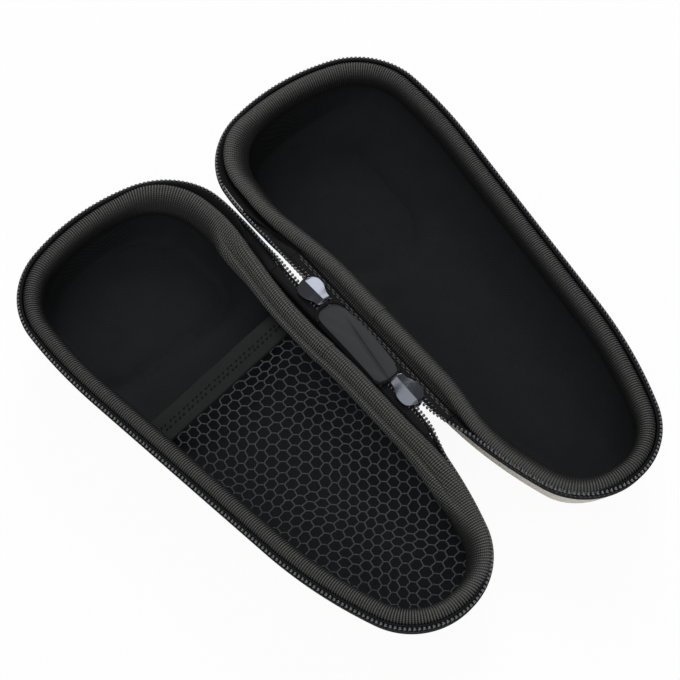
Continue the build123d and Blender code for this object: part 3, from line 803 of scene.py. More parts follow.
def blend_run(made, half):
    """Bakes the piece's placement into its mesh, the same way for either half."""
    if half == "base":
        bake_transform(made)
    else:
        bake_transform(made)


def make_web(half, name, first, last, end):
    """Cloth from the collar's foot up to the back of a coil's run. Its section is a Bezier curve
    whose controls go smoothly from the hinge cloth's section to the collar's, and it runs on
    inside the collar to its end."""
    side = HALVES[half][0]
    y = np.linspace(first - 0.04 * (end - first), end, 90)
    share = smooth((y - first) / (last - first))[:, None]
    centre, head, _ = strand_path(y, side)
    back = centre / MM - 0.75 * head
    back[:, 0] *= side
    spot = hinge_spot(SHELL_EDGE, y)
    rim = rim_rows([0.05, 0.2, 0.45, 0.65], [1.0, 0.8, 0.9, 1.0], [4.5, 3.8, 2.8, 2.0],
                   spot, 1) / MM
    strip = np.array([(5.0, 22.3), (6.6, 23.2), (6.6, 25.7), (4.6, 25.9)])
    controls = [np.stack([a[0] + share[:, 0] * (b[:, 0] - a[0]), y,
                          a[1] + share[:, 0] * (b[:, 2] - a[1])], -1)
                for a, b in zip(strip, rim)] + [back]
    t = np.linspace(0, 1, 14)
    weights = bezier(np.eye(5), t)
    outer = np.einsum("tk,kyi->tyi", weights, np.stack(controls))
    inner = outer[::-1] - [0, 0, 0.3]
    rows = np.concatenate([outer, inner])
    rows[..., 0] *= side
    faces = bar_faces(*rows.shape[:2], flip=(side > 0) == (end > first))
    made = piece(name, rows * MM, faces, FINISHES["tape"], rows[..., [1, 2]])
    blend_run(made, half)


def coil_and_cord(names, path, heads, faces_out, length, sizes):
    """A coil's two pieces along one path: the nylon helix and the sewn cord."""
    turns = round(length / (sizes.tooth_pitch / MM))
    wire, cord = coil(path, heads, faces_out, turns, sizes.filament / 2, 0.97 * MM, 0.26 * MM)
    coiled = piece(names[0], *wire, FINISHES["coil"])
    sewn = piece(names[1], *cord, FINISHES["tape"], cord[0][:, :2] / MM)
    return coiled, sewn


def make_coils(sizes):
    """Coils of both halves, of the strip's strands, and of the runs that join them."""
    for half, (side, *_) in HALVES.items():
        low, top = (float(hinge_spot(ZIP_EDGE, y)) for y in (RUN_LOW, RUN_TOP))
        spots, length = even_spots(ZIP_EDGE - COIL_INSET * INSET, 1600, low, top + LAP)
        path = rim_rows(1.0, COIL_INSET, COIL_DEPTH, spots, side)[0]
        ahead = on_half(np.append(outline(ZIP_EDGE, spots)[1][0], np.zeros((len(spots), 1)), 1),
                        side)
        out = ahead - on_half(np.zeros((1, 3)), side)
        up = np.broadcast_to([0, 0, 1.0], path.shape)
        coiled, sewn = coil_and_cord((f"{half}_zip_coil", f"{half}_zip_cord"),
                                     path, up, out, length, sizes)
        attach(coiled, half)
        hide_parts(f"{half}_zip_teeth")
        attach(sewn, half)
        make_web(half, f"web_wide_{half}_side", HINGE_TOP, RUN_TOP, WEB_TOP)
        make_web(half, f"web_nose_{half}_side", HINGE_LOW, RUN_LOW, WEB_LOW)
        for name, first, last in (("hinge_coil", HINGE_LOW, HINGE_TOP),
                                  ("coil_run_wide", HINGE_TOP, RUN_TOP),
                                  ("coil_run_nose", HINGE_LOW, RUN_LOW)):
            run = strand_path(np.linspace(first, last, 200), side)
            coiled, sewn = coil_and_cord((f"{name}_{half}_side", f"{name}_cord_{half}_side"),
                                         *run, abs(last - first), sizes)
            if name == "hinge_coil":
                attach(coiled, "hinge_strip")
                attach(sewn, "hinge_strip")
                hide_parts(f"hinge_teeth_{half}_side")
            else:
                blend_run(coiled, half)
                blend_run(sewn, half)


# ---- ribbed binding -------------------------------------------------------------------------

FOLD_AT = 10                     # row of the profile that lies in the fold
RIBBON_MIDDLE = 4.2              # inset of the line on which the ribs are counted
RIB_HEIGHT = 0.26
LAP_RIBS, LAP_RISE = 9, 0.3      # length of the ribbon's lap, in ribs, and its height


def binding_profile(spots, side):
    """Inset and depth of the ribbon's rows at each spot, and the share of the fold. A plain roll
    is one Bezier curve; on the lid's hinge side it turns smoothly into two rolls with a fold
    between them."""
    t = np.append(np.linspace(0, 0.7, FOLD_AT + 1), np.linspace(0.7, 1, 8)[1:])
    plain = bezier([(2.3, 5.2), (0.0, 1.9), (0.3, -1.2), (3.6, -0.7), (6.4, -0.2), (7.0, 3.0),
                    (6.7, 6.6)], t)
    folded = np.concatenate([
        bezier([(2.3, 5.2), (0.2, 1.9), (0.5, -1.2), (3.6, -0.8), (5.7, 0.1), (5.9, 3.1)],
               np.linspace(0, 1, FOLD_AT + 1)),
        bezier([(5.9, 3.1), (6.3, 1.2), (8.8, 1.6), (8.3, 4.6), (7.9, 6.6)],
               np.linspace(0, 1, 8))[1:]])
    y = placed_y(spots)
    on_hinge_side = (spots > LAP / 2) & (side < 0)
    share = np.where(on_hinge_side, smooth((64 - y) / 26) * smooth((y + 80) / 26), 0.0)
    return plain[:, None] + share[:, None] * (folded - plain)[:, None], share


def wander(half, spots):
    """How far the roll lies from the rim's own line beside the hinge, in millimetres: inward
    beside the strip, where the hinge cloth pulls on it, and out to the zip at both ends. Sums of
    smooth steps along Y."""
    y = placed_y(spots)
    if half == "base":
        way = (-3.0 + 1.1 * smooth((78 - y) / 20) + 5.1 * smooth((60 - y) / 50)
               - 5.8 * smooth((-36 - y) / 30))
    else:
        way = (-3.0 + 4.8 * smooth((62 - y) / 52) - 1.2 * smooth((5 - y) / 25)
               - 3.1 * smooth((-38 - y) / 26))
    facing_hinge = np.maximum(-outline(SHELL_EDGE, spots)[1][0, :, 0], 0)
    return np.where(spots > LAP / 2, way * smooth(facing_hinge * 1.25), 0.0)


def make_binding(half, sizes):
    """Rolled ribbon round one opening: its profile, carried round the rim, moved sideways where
    it wanders, and raised along its own normal by the ribs' height, |sin(pi * rib)| to the power
    0.8, and where its end laps over its start."""
    side = HALVES[half][0]
    middle = SHELL_EDGE - RIBBON_MIDDLE * INSET
    length = even_spots(middle, 10)[1]
    ribs = round(length / (sizes.rib_pitch / MM))
    per_rib = 5
    spots = even_spots(middle, ribs * per_rib)[0][:-1]
    profile, folded = binding_profile(spots, side)
    rows = len(profile)
    way, depth = wander(half, spots), profile[..., 1]
    before_crown = np.arange(rows)[:, None] < FOLD_AT - 2
    moved = 1 - np.where(before_crown, smooth((depth - 3.6) / 1.6), smooth((depth - 2.8) / 3.6))
    profile[..., 0] += way * np.where(way > 0, moved, np.clip(1 - depth / 5, 0, 1))
    slope = np.gradient(profile, axis=0)
    slope /= np.linalg.norm(slope, axis=-1, keepdims=True)
    out = np.stack([slope[..., 1], -slope[..., 0]], -1)
    rib = np.arange(ribs * per_rib) / per_rib
    wobble = 1 + 0.12 * np.sin(rib * 2.399) * np.sin(rib * 0.37)
    height = RIB_HEIGHT * wobble * np.abs(np.sin(math.pi * rib)) ** 0.8
    lap = rib - np.interp(LAP_SPOT, spots, rib)
    height += LAP_RISE * np.where((lap > -LAP_RIBS) & (lap < 0), 1 + lap / LAP_RIBS, 0)
    fade = smooth(np.minimum(np.arange(rows) / 1.5, (rows - 1 - np.arange(rows)) / 2))
    lifted = profile + out * (fade[:, None] * height)[..., None]
    flat, normals = outline(SHELL_EDGE, spots)
    flat = flat - normals * lifted[..., :1]
    xyz = np.concatenate([flat, CLOSING_HEIGHT - lifted[..., 1:]], -1)
    across = travelled(profile[:, 0])
    # V runs shorter on the fold, which also moves where the painted shade of the inner flank
    # begins
    uv = np.stack(np.broadcast_arrays(rib, across[:, None] * (1 - 0.45 * folded)), -1)
    faces = grid_faces(rows, len(spots), wrap_cols=True, flip=side < 0)
    made = piece(f"{half}_ribbed_binding", on_half(xyz, side), faces, FINISHES["binding"], uv)
    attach(made, half)
    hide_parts(f"{half}_rim_binding")


# ---- net pocket -----------------------------------------------------------------------------

POCKET_INSET = 6.2
BAND_WIDTH = 9.2
BAND_Y = SHELL_EDGE[WIDE_Y] - 73.6
BAND_TILT = math.radians(-5)
BAND_COS, BAND_SIN = math.cos(BAND_TILT), math.sin(BAND_TILT)
BAND_TOP, BAND_UNDER = 20.6, 19.7    # heights of the band's two faces
NEEDLE_HEIGHT = 20.45                # height of the needle holes' and the seam's middle
NET_DEPTH = 6.5
# heading of the net's chains, in the half's own frame and before it is mirrored
NET_HEADING = math.radians(180 - 40.5 - 2.72)
NET_MIDDLE = (0, -35)
NET_CHAINS, NET_HOLES = 34, 40       # chains to each side of the middle, and holes each way


def band_frame(points):
    """Distances along the band from its middle, and across it, of local points."""
    x, y = points[..., 0] - CENTRE_X, points[..., 1] - BAND_Y
    return x * BAND_COS + y * BAND_SIN, y * BAND_COS - x * BAND_SIN


def band_spot(along, across):
    """Local x and y of points given by their distances along and across the band."""
    return (CENTRE_X + along * BAND_COS - across * BAND_SIN,
            BAND_Y + along * BAND_SIN + across * BAND_COS)


def inside_pocket(points):
    """True where local points lie inside the pocket's outline, by the crossings rule."""
    edge = outline(SHELL_EDGE - POCKET_INSET * INSET, np.linspace(0, LAP, 241))[0][0]
    x, y = points[..., 0, None], points[..., 1, None]
    x0, y0, x1, y1 = edge[:-1, 0], edge[:-1, 1], edge[1:, 0], edge[1:, 1]
    crosses = (y0 > y) != (y1 > y)
    hits = x < x0 + (y - y0) * (x1 - x0) / np.where(y1 == y0, 1e-9, y1 - y0)
    return (crosses & hits).sum(-1) % 2 == 1


def net_sag(x, y):
    """Depth of the net below its edge: a shallow dish with a few slack waves."""
    _, along = band_frame(np.stack([x, y], -1))
    room = np.clip(-along / 30, 0, 1)
    wave = 0.5 * np.sin(0.16 * x + 0.11 * y) + 0.35 * np.sin(0.31 * x - 0.17 * y + 1.3)
    return NET_DEPTH + room * (0.9 + wave)


def net_slack(flat):
    """Local points of the net moved sideways by slow sine waves, and drawn towards the band
    beside the hinge, where the net is gathered."""
    x, y = flat[..., 0], flat[..., 1]
    _, along = band_frame(flat)
    gather = 1.7 * np.exp(-((along + 14) / 5) ** 2 - ((x + 12) / 10) ** 2)
    return flat + np.stack([
        0.7 * np.sin(0.11 * x + 0.07 * y + 0.5) + 0.3 * np.sin(0.31 * y - 0.12 * x),
        0.7 * np.sin(0.13 * x - 0.09 * y + 1.1) + 0.3 * np.sin(0.33 * x + 0.08 * y) + gather], -1)


def make_net(sizes):
    """Knitted net: zigzag chains in one direction, offset sideways by cos(2 pi s / pitch) with
    neighbours in opposite phase, and a rung across each hole where two chains come closest."""
    pitch = sizes.net_pitch / MM
    spacing = pitch * math.sqrt(3) / 2
    swing = pitch * 0.144
    run = np.array([math.cos(NET_HEADING), math.sin(NET_HEADING)])
    cross = np.array([-run[1], run[0]])
    per_hole = 8
    steps = np.arange(-NET_HOLES * per_hole, NET_HOLES * per_hole + 1) / per_hole
    parts = []
    thread = sizes.net_thread / 2

    def laid(s, offset):
        """Points of the net from their place along and across its chains."""
        flat = net_slack(run * (s * pitch)[..., None] + cross * offset[..., None] + NET_MIDDLE)
        x, y = flat[..., 0], flat[..., 1]
        under_band = 0.5 * smooth((band_frame(flat)[1] + BAND_WIDTH / 2 + 2) / 2)
        return np.stack([x, y, CLOSING_HEIGHT - net_sag(x, y) - under_band], -1)

    def kept(points):
        """True for the points that the pocket's net reaches."""
        return inside_pocket(points) & (band_frame(points)[1] < -BAND_WIDTH / 2 + 0.6)

    for row in range(-NET_CHAINS, NET_CHAINS + 1):
        phase = math.pi * row
        offset = row * spacing + swing * np.cos(2 * math.pi * steps + phase)
        line = laid(steps, offset)
        keep = np.flatnonzero(kept(line))
        if len(keep) > 3:
            line = line[keep[0]:keep[-1] + 1]
            parts.append(tube(on_half(line, -1), thread, around=6))
    rungs = []
    for row in range(-NET_CHAINS, NET_CHAINS):
        s = np.arange(-NET_HOLES, NET_HOLES + 1) + (0.0 if row % 2 == 0 else 0.5)
        share = np.linspace(0, 1, 4)
        first = row * spacing + swing
        last = (row + 1) * spacing - swing
        offset = first + (last - first) * share
        bow = 0.04 * np.sin(math.pi * share)
        line = laid(s[:, None] + bow, np.broadcast_to(offset, (len(s), 4)))
        rungs.append(line[kept(line).all(-1)])
    rungs = np.concatenate(rungs)
    parts.append(tube(on_half(rungs, -1), thread * 0.9, around=5))
    points, faces = joined(parts)
    uv = points[:, :2] / MM
    made = piece("pocket_net", points, faces, FINISHES["net"], uv)
    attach(made, "lid")
    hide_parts("pocket_mesh")


def make_band():
    """Elastic band across the lid: a flat strip with rounded edges, two rows of needle holes and
    a thin seam on the net's side."""
    across_mm = np.linspace(-BAND_WIDTH / 2, BAND_WIDTH / 2, 29)
    fine = np.linspace(-45, 45, 1801)
    held = inside_pocket(np.stack(band_spot(fine, across_mm[:, None]), -1))
    first = fine[held.argmax(1)]
    last = fine[held.shape[1] - 1 - held[:, ::-1].argmax(1)]
    share = np.linspace(0, 1, 241)
    along = first[:, None] + (last - first)[:, None] * share
    x, y = band_spot(along, across_mm[:, None])
    edge = np.abs(across_mm[:, None]) / (BAND_WIDTH / 2)
    top = BAND_TOP - 0.3 * edge ** 6 + 0.12 * np.sin(along / 3.1) * edge ** 2
    under = np.stack([x, y, np.full_like(x, BAND_UNDER)], -1)
    rows = np.concatenate([np.stack([x, y, top], -1), under[::-1]])
    count, cols = rows.shape[:2]
    uv = np.stack([np.concatenate([along, along[::-1]]), np.broadcast_to(
        np.concatenate([across_mm, across_mm[::-1] + 20])[:, None], (count, cols))], -1)
    made = piece("pocket_elastic", on_half(rows, -1), bar_faces(count, cols, flip=True),
                 FINISHES["elastic"], uv)
    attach(made, "lid")
    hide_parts("pocket_band")

    def seam(name, finish, runs, radius):
        """Piece of thread along each of the runs."""
        points, faces = joined([tube(on_half(run, -1), radius, around=5) for run in runs])
        sewn = piece(name, points, faces, finish)
        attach(sewn, "lid")

    def on_band(distance, row, height):
        """Local points over the band."""
        return np.stack([*band_spot(distance, row), height + 0 * distance], -1)

    low, high = float(first.max()) + 1.5, float(last.min()) - 1.5
    holes = []
    for row, phase in ((0.75, 0.0), (-0.75, 1.1)):
        start = np.arange(low + phase, high - 0.8, 1.9)
        start = start + 0.25 * np.sin(start * 5.3 + 9 * phase)
        share = np.linspace(0, 1, 4)
        distance = start[:, None] + 0.7 * share
        holes.append(on_band(distance, row - 0.35 * share + 0 * distance,
                             NEEDLE_HEIGHT + 0.12 * np.sin(math.pi * share)))
    seam("elastic_needle_row", FINISHES["black_thread"], [np.concatenate(holes)], 0.33 * MM)
    distance = np.linspace(low - 1, high + 1, 160)
    seam("elastic_edge_seam", FINISHES["black_thread"], [
        on_band(distance, -BAND_WIDTH / 2 + 0.25 + 0.08 * np.sin(distance * 4),
                NEEDLE_HEIGHT)], 0.13 * MM)


# ---- hinge strip ----------------------------------------------------------------------------

PATCH_TOP, PATCH_LENGTH = 14.5, 34.0     # the satin's upper end along Y, and its length
PATCH_BACK, PATCH_FACE = 0.87, 0.95      # the satin's two faces, from the strip's plane
STITCH_PITCH = 2.3
STITCH_ROWS = ((4.55, 0.0), (5.15, 0.8))     # distance from the hinge line, and shift


def make_hinge():
    """Cloth between the two halves: satin patches over the strands, tape beside the strands and
    a cloth wall from each shell's edge."""
    u = np.linspace(-1, 1, 49)[:, None]
    v = np.linspace(0, 1, 90)
    for name, node, way in (("hinge_satin_inner", "hinge_patch_inner", 1),
                            ("hinge_satin_outer", "hinge_patch_outer", -1)):
        left = -5.5 + 1.9 * np.exp(-17 * v) + 0.35 * np.sin(math.pi * v)
        right = 3.3 + 1.2 * np.sin(math.pi * v) ** 0.8 - 0.5 * v
        x = left + (right - left) * (u + 1) / 2
        y = PATCH_TOP - PATCH_LENGTH * v - 2.4 * (1 - v) ** 3 * (u + 1) / 2
        lower = smooth((9 - y) / 12) * (1 - 0.5 * smooth((-12 - y) / 8))
        fold = 2.3 - 3.6 * (5.7 - y) / 24.2
        z = PATCH_FACE + 0.3 * np.maximum(1 - u ** 4, 0)
        z = z + lower * (0.3 * np.exp(-((x - fold) / 0.45) ** 2)
                         - 0.45 * np.exp(-((x - fold + 0.85) / 0.4) ** 2)
                         + 0.08 * np.exp(-((x - fold - 1.5) / 0.5) ** 2))
        z = z + 0.025 * np.sin(1.3 * x + 0.35 * y) + 0.02 * np.sin(0.6 * y + 1.9 * x)
        z = STRIP_Z + way * np.maximum(z, 0.9)
        top = np.stack([x, y, z], -1)
        under = top.copy()
        under[..., 2] = STRIP_Z + way * PATCH_BACK
        rows = np.concatenate([top, under[::-1]])
        faces = bar_faces(*rows.shape[:2], flip=way < 0)
        made = piece(name, rows * MM, faces, FINISHES["satin"], rows[..., [1, 0]])
        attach(made, "hinge_strip")
        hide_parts(node)
    hems = [bezier(controls, np.linspace(0, 1, 30)) for controls in (
        [(-5.6, 10.5, 26.2), (-5.6, 14.0, 26.5), (-2.6, 14.6, 27.2), (0.5, 14.2, 27.3),
         (3.6, 13.6, 27.0), (3.9, 10.0, 26.3)],
        [(-5.5, -17.0, 26.2), (-5.5, -20.2, 26.6), (-1.5, -19.6, 27.1), (1.0, -19.7, 27.1),
         (3.1, -20.2, 26.7), (3.4, -16.5, 26.3)])]
    points, faces = joined([tube(hem * MM, 0.62 * MM, around=10) for hem in hems])
    hem = piece("hinge_patch_hems", points, faces, FINISHES["tape"], points[:, :2] / MM)
    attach(hem, "hinge_strip")
    # two rows of stitches where the base's hinge cloth is sewn to the strip
    start = np.arange(HINGE_LOW + 1, HINGE_TOP - 2, STITCH_PITCH)[:, None]
    share = np.linspace(0, 1, 5)
    rows = [np.stack(np.broadcast_arrays(
        x, start + shift + 1.5 * share, 25.78 + 0.14 * np.sin(math.pi * share)), -1)
        for x, shift in STITCH_ROWS]
    points, faces = tube(np.concatenate(rows) * MM, 0.15 * MM, around=6)
    sewn = piece("hinge_stitches", points, faces, FINISHES["thread"])
    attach(sewn, "hinge_strip")
    y = np.linspace(HINGE_LOW, HINGE_TOP, 120)
    for half, (side, *_) in HALVES.items():
        x = np.array([2.1, 2.3, 3.5, 5.1, 5.3, 5.3, 5.1, 3.5, 2.3])
        z = np.array([0.0, 0.25, 0.25, 0.25, 0.1, -0.1, -0.25, -0.25, -0.25]) + STRIP_Z
        rows = np.stack(np.broadcast_arrays(side * x[:, None], y, z[:, None]), -1)
        faces = bar_faces(*rows.shape[:2], flip=side < 0)
        made = piece(f"hinge_tape_{half}", rows * MM, faces, FINISHES["tape"],
                     rows[..., [1, 0]])
        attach(made, "hinge_strip")
        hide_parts(f"hinge_tape_{half}_side")
        # cloth wall from the shell's edge up to the strand's tape
        profile = bezier([(5.0, 22.3), (6.6, 23.2), (6.6, 25.6), (5.2, 25.9), (4.2, 25.75)],
                         np.linspace(0, 1, 12))
        inner = bezier([(4.2, 25.35), (5.0, 25.3), (6.0, 25.1), (6.0, 23.4), (4.8, 22.3)],
                       np.linspace(0, 1, 12))
        loop = np.concatenate([profile, inner])
        rows = np.stack(np.broadcast_arrays(side * loop[:, :1], y, loop[:, 1:]), -1)
        faces = bar_faces(*rows.shape[:2], flip=side > 0)
        made = piece(f"{half}_hinge_cloth", rows * MM, faces, FINISHES["tape"],
                     rows[..., [1, 2]])
        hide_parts(f"{half}_hinge_gusset")
        if half == "base":
            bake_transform(made)
        else:
            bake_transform(made)


# ---- sliders --------------------------------------------------------------------------------

SLIDER_TIP = 5.75                # half the slider's length
CHANNEL, PLATE = 0.85, 0.9       # half height of the channel and thickness of a plate
SLIDER_PLACES = (("wide", 1, 20.15), ("nose", -1, -25.55))     # name, way it points, and Y


def chained(curves, t):
    """Bezier curves in a row, each of which starts where the last one ends."""
    first, *others = [bezier(controls, t) for controls in curves]
    return np.concatenate([first] + [points[1:] for points in others])


def make_sliders():
    """Sliders and their pull tabs. Each plate is a shield: two round lobes at the wedge and a
    narrow rear. The inner plate falls towards the tip and has a ridge along its middle."""
    t = np.linspace(0, 1, 17)
    right = chained((
        [(0, SLIDER_TIP), (2.7, SLIDER_TIP - 0.5), (4.3, 4.2), (4.2, 1.6)],
        [(4.2, 1.6), (4.3, -1.0), (2.9, -1.9), (2.6, -3.9)],
        [(2.6, -3.9), (2.5, -5.2), (2.3, -SLIDER_TIP), (0, -SLIDER_TIP)]), t)
    shield = symmetric(right)
    fall = 0.35 - 0.08 * (shield[:, 1] + SLIDER_TIP)
    post = symmetric(bezier([(0, 5.2), (1.3, 5.2), (0.9, 2.0), (0, 1.6)], t))
    lobe = right[8:24] - [0.45, 0]
    guides = [np.column_stack([lobe * [way, 1], np.full(len(lobe), z)])
              for way in (1, -1) for z in (-0.62, 0.62)]
    arch = np.column_stack([np.zeros((4, 1)), [(-2.7, -1.4), (-2.7, -5.2), (2.7, -5.2),
                                               (2.7, -1.4)]])
    parts = [plate(shield, CHANNEL, CHANNEL + PLATE + fall, 0.28, ridge=0.75),
             plate(shield, -CHANNEL - PLATE, -CHANNEL, 0.28),
             plate(post, -CHANNEL - 0.1, CHANNEL + 0.1, 0.1)]
    parts += [tube(np.array(guides), 0.3, around=8),
              tube(bezier(arch, np.linspace(0, 1, 25)), 0.5, around=10, up=(1, 0, 0))]
    body = joined([welded(points * MM, faces) for points, faces in parts])

    # pull tab: a flat loop whose lower end is filled, hanging along -Z
    drop = np.array([0, -2.7])
    rim = symmetric(chained((
        [(0, 0.6), (2.0, 0.6), (2.6, 0.4), (2.6, -1.4)],
        [(2.6, -1.4), (2.6, -6.0), (2.9, -8.0), (2.95, -13.5)],
        [(2.95, -13.5), (3.0, -17.2), (1.9, -18.4), (0, -18.4)]), t)) + drop
    hole = symmetric(chained((
        [(0, -0.6), (0.7, -0.6), (1.1, -0.7), (1.1, -1.5)],
        [(1.1, -1.5), (1.1, -2.4), (1.1, -3.0), (1.1, -3.7)],
        [(1.1, -3.7), (1.1, -4.4), (0.7, -4.6), (0, -4.6)]), t)) + drop
    rows = []
    for share, depth in ((0.0, 0.42), (0.05, 0.56), (0.12, 0.6), (0.2, 0.5), (0.8, 0.5),
                         (0.9, 0.6), (0.97, 0.56), (1.0, 0.42)):
        ring = rim + share * (hole - rim)
        rows.append(np.stack([ring[:, 0], np.full(len(ring), depth), ring[:, 1]], -1))
    rows = np.array(rows + [row * [1, -1, 1] for row in rows[::-1]])
    faces = grid_faces(len(rows), rows.shape[1], wrap_rows=True, wrap_cols=True).tolist()
    tab = rows.reshape(-1, 3) * MM, faces

    for name, turn, y in SLIDER_PLACES:
        for kind, (points, faces) in (("", body), ("_pull", tab)):
            spots = points * [turn, turn, 1] + np.array([0, y, STRIP_Z]) * MM
            made = piece(f"slider_{name}{kind or '_body'}", spots, faces, FINISHES["metal"])
            made.data.set_sharp_from_angle(angle=math.radians(12))
            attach(made, f"pull_{name}" if kind else f"slider_{name}")
            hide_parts(f"slider_{name}{kind}")


# ---- stage ----------------------------------------------------------------------------------

EYE = (-0.186055, -0.249377, 0.562859)
EYE_RIGHT = (0.779650, -0.625560, -0.028590)
EYE_UP = (0.553440, 0.666980, 0.498840)
FOCAL_LENGTH = 105.882


def make_stage():
    """Pale floor, soft lights and the camera."""
    scene = bpy.context.scene
    scene.view_settings.view_transform = "Standard"
    finish, tree = new_finish("white_paper_floor")
    rays = add_node(tree, "ShaderNodeLightPath")
    seen = maths(tree, "MAXIMUM", rays.outputs["Is Camera Ray"], rays.outputs["Is Glossy Ray"])
    seen = maths(tree, "MAXIMUM", seen, rays.outputs["Is Transmission Ray"])
    part = maths(tree, "MULTIPLY", seen, 0.94)
    paper = add_node(tree, "ShaderNodeBsdfDiffuse", {"Color": rgba(linear("#fbfbfa"))})
    glow = add_node(tree, "ShaderNodeEmission", {"Color": (1, 1, 1, 1), "Strength": 1.0})
    both = add_node(tree, "ShaderNodeMixShader", {
        0: part, 1: paper.outputs[0], 2: glow.outputs[0]})
    add_node(tree, "ShaderNodeOutputMaterial", {"Surface": both.outputs[0]})
    span = 6.0
    t = np.linspace(-span, span, 5)
    rows = np.stack(np.broadcast_arrays(t, t[:, None], 0.0 * t), -1)
    floor = piece("floor", rows, grid_faces(5, 5), finish)

    world = bpy.data.worlds.new("studio")
    scene.world = world
    world.use_nodes = True
    world.node_tree.nodes.clear()
    sky = add_node(world.node_tree, "ShaderNodeBackground", {
        "Color": (1, 1, 1, 1), "Strength": 0.3})
    add_node(world.node_tree, "ShaderNodeOutputWorld", {"Surface": sky.outputs[0]})

    for name, place, size, power in (
            ("key_softbox", (0.69, 0.82, 0.82), 0.7, 7.5),
            ("top_softbox", (-0.13, 0.0, 1.40), 1.0, 5.5),
            ("front_softbox", (-0.95, -0.85, 0.75), 1.2, 5.6)):
        lamp = bpy.data.lights.new(name, "AREA")
        lamp.size = size
        lamp.energy = power
        light = bpy.data.objects.new(name, lamp)
        scene.collection.objects.link(light)
        back = np.array(place) / np.linalg.norm(place)
        right = np.cross([0, 0, 1.0], back)
        right /= np.linalg.norm(right)
        axes = np.stack([right, np.cross(back, right), back], 1)
        light.matrix_world = Matrix.Translation(place) @ Matrix(axes.tolist()).to_4x4()

    lens = bpy.data.cameras.new("camera")
    lens.lens = FOCAL_LENGTH
    lens.sensor_width = 36.0
    lens.clip_start, lens.clip_end = 0.01, 50.0
    camera = bpy.data.objects.new("camera", lens)
    scene.collection.objects.link(camera)
    right, up = np.array(EYE_RIGHT), np.array(EYE_UP)
    axes = np.stack([right, up, np.cross(right, up)], 1)
    camera.matrix_world = Matrix.Translation(EYE) @ Matrix(axes.tolist()).to_4x4()
    scene.camera = camera


# ---- add-on ---------------------------------------------------------------------------------

class ShaverCaseSizes(bpy.types.PropertyGroup):
    tooth_pitch: bpy.props.FloatProperty(
        name="Tooth pitch", description="Distance between two turns of the coil",
        default=0.0014, unit="LENGTH")
    filament: bpy.props.FloatProperty(
        name="Filament", description="Diameter of the coil's nylon filament",
        default=0.00064, unit="LENGTH")
    rib_pitch: bpy.props.FloatProperty(
        name="Rib pitch", description="Distance between two ribs of the binding",
        default=0.0008, unit="LENGTH")
    net_pitch: bpy.props.FloatProperty(
        name="Net pitch", description="Distance between the middles of two holes of the net",
        default=0.0036, unit="LENGTH")
    net_thread: bpy.props.FloatProperty(
        name="Net thread", description="Diameter of the net's thread",
        default=0.00046, unit="LENGTH")


def colour_property(name, description, hex_colour):
    """Colour picker of the panel, with an sRGB hex colour as its default."""
    return bpy.props.FloatVectorProperty(
        name=name, description=description, subtype="COLOR", size=3, min=0, max=1,
        default=linear(hex_colour))


class ShaverCaseColours(bpy.types.PropertyGroup):
    wall: colour_property("Outer cloth", "Woven cloth on the outside", "#ebe7df")
    lining: colour_property("Lining", "Brushed cloth inside", "#232426")
    tape: colour_property("Zip tape", "Tape that carries the coil", "#19191b")
    # the binding's colour is painted on the ribs' crowns: partly the ribbon's own colour, partly
    # a painted highlight
    binding: colour_property("Binding", "Crowns of the ribbon's ribs", "#6b6d6a")
    elastic: colour_property("Elastic", "Band of the pocket", "#252726")
    net: colour_property("Net", "Thread of the pocket's net", "#4a4c50")
    satin: colour_property("Satin", "Patch on the hinge", "#323336")
    coil: colour_property("Coil", "Nylon of the zip", "#4a4c50")
    thread: colour_property("Thread", "Sewing thread", "#4c4d4b")
    metal: colour_property("Metal", "Plating of the sliders", "#5a5d64")


class SHAVERCASE_OT_walls(bpy.types.Operator):
    """Foam walls and their linings"""
    bl_idname = "shaver_case.walls"
    bl_label = "Walls and linings"

    def execute(self, context):
        make_finishes(context.scene.shaver_case_colours)
        for half in HALVES:
            make_wall(half)
            make_lining(half)
        return {"FINISHED"}


class SHAVERCASE_OT_zip(bpy.types.Operator):
    """Zip tapes and coils"""
    bl_idname = "shaver_case.zip"
    bl_label = "Zip"

    def execute(self, context):
        for half in HALVES:
            make_tape(half)
        make_coils(context.scene.shaver_case_sizes)
        return {"FINISHED"}


class SHAVERCASE_OT_binding(bpy.types.Operator):
    """Ribbed binding round both openings"""
    bl_idname = "shaver_case.binding"
    bl_label = "Binding"

    def execute(self, context):
        for half in HALVES:
            make_binding(half, context.scene.shaver_case_sizes)
        return {"FINISHED"}


class SHAVERCASE_OT_pocket(bpy.types.Operator):
    """Elastic band and net of the pocket"""
    bl_idname = "shaver_case.pocket"
    bl_label = "Pocket"

    def execute(self, context):
        make_net(context.scene.shaver_case_sizes)
        make_band()
        return {"FINISHED"}


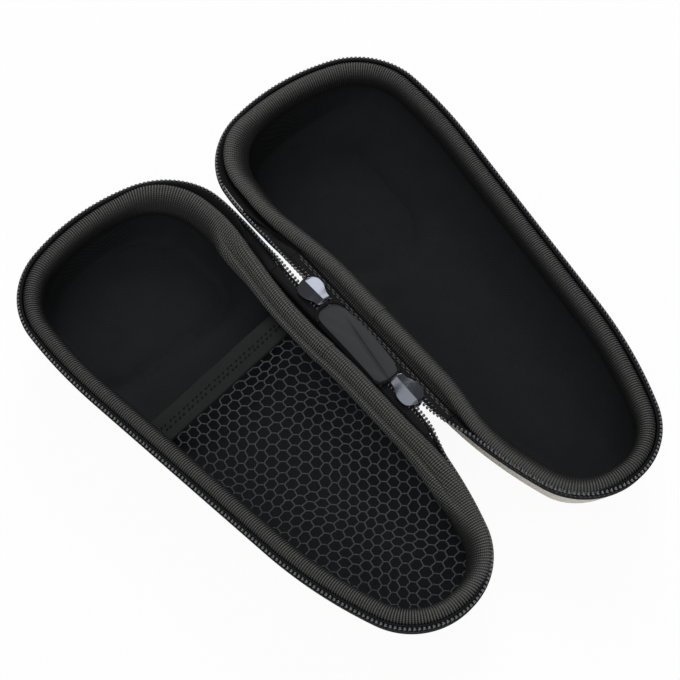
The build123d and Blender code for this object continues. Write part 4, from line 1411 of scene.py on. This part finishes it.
class SHAVERCASE_OT_hinge(bpy.types.Operator):
    """Cloth hinge between the halves"""
    bl_idname = "shaver_case.hinge"
    bl_label = "Hinge"

    def execute(self, context):
        make_hinge()
        return {"FINISHED"}


class SHAVERCASE_OT_sliders(bpy.types.Operator):
    """Sliders with their pull tabs"""
    bl_idname = "shaver_case.sliders"
    bl_label = "Sliders"

    def execute(self, context):
        make_sliders()
        return {"FINISHED"}


class SHAVERCASE_OT_stage(bpy.types.Operator):
    """Floor, lights and camera"""
    bl_idname = "shaver_case.stage"
    bl_label = "Stage"

    def execute(self, context):
        make_stage()
        return {"FINISHED"}


OPERATORS = (SHAVERCASE_OT_walls, SHAVERCASE_OT_zip, SHAVERCASE_OT_binding,
             SHAVERCASE_OT_pocket, SHAVERCASE_OT_hinge, SHAVERCASE_OT_sliders,
             SHAVERCASE_OT_stage)


class SHAVERCASE_PT_panel(bpy.types.Panel):
    bl_idname = "SHAVERCASE_PT_panel"
    bl_label = "Shaver case"
    bl_space_type = "VIEW_3D"
    bl_region_type = "UI"
    bl_category = "Shaver case"

    def draw(self, context):
        """Every size and colour, then a button for each group of pieces."""
        for group in (context.scene.shaver_case_sizes, context.scene.shaver_case_colours):
            for key in group.bl_rna.properties.keys():
                if key not in ("rna_type", "name"):
                    self.layout.prop(group, key)
        for operator in OPERATORS:
            self.layout.operator(operator.bl_idname)


CLASSES = (ShaverCaseSizes, ShaverCaseColours, *OPERATORS, SHAVERCASE_PT_panel)


def register():
    """Adds the panel, its operators and both groups of properties."""
    for cls in CLASSES:
        bpy.utils.register_class(cls)
    bpy.types.Scene.shaver_case_sizes = bpy.props.PointerProperty(type=ShaverCaseSizes)
    bpy.types.Scene.shaver_case_colours = bpy.props.PointerProperty(type=ShaverCaseColours)


def unregister():
    """Takes them away again."""
    del bpy.types.Scene.shaver_case_colours
    del bpy.types.Scene.shaver_case_sizes
    for cls in reversed(CLASSES):
        bpy.utils.unregister_class(cls)


def main():
    """Builds the whole case."""
    register()
    for operator in OPERATORS:
        getattr(bpy.ops.shaver_case, operator.bl_idname.split(".")[1])()


if __name__ == "__main__":
    main()
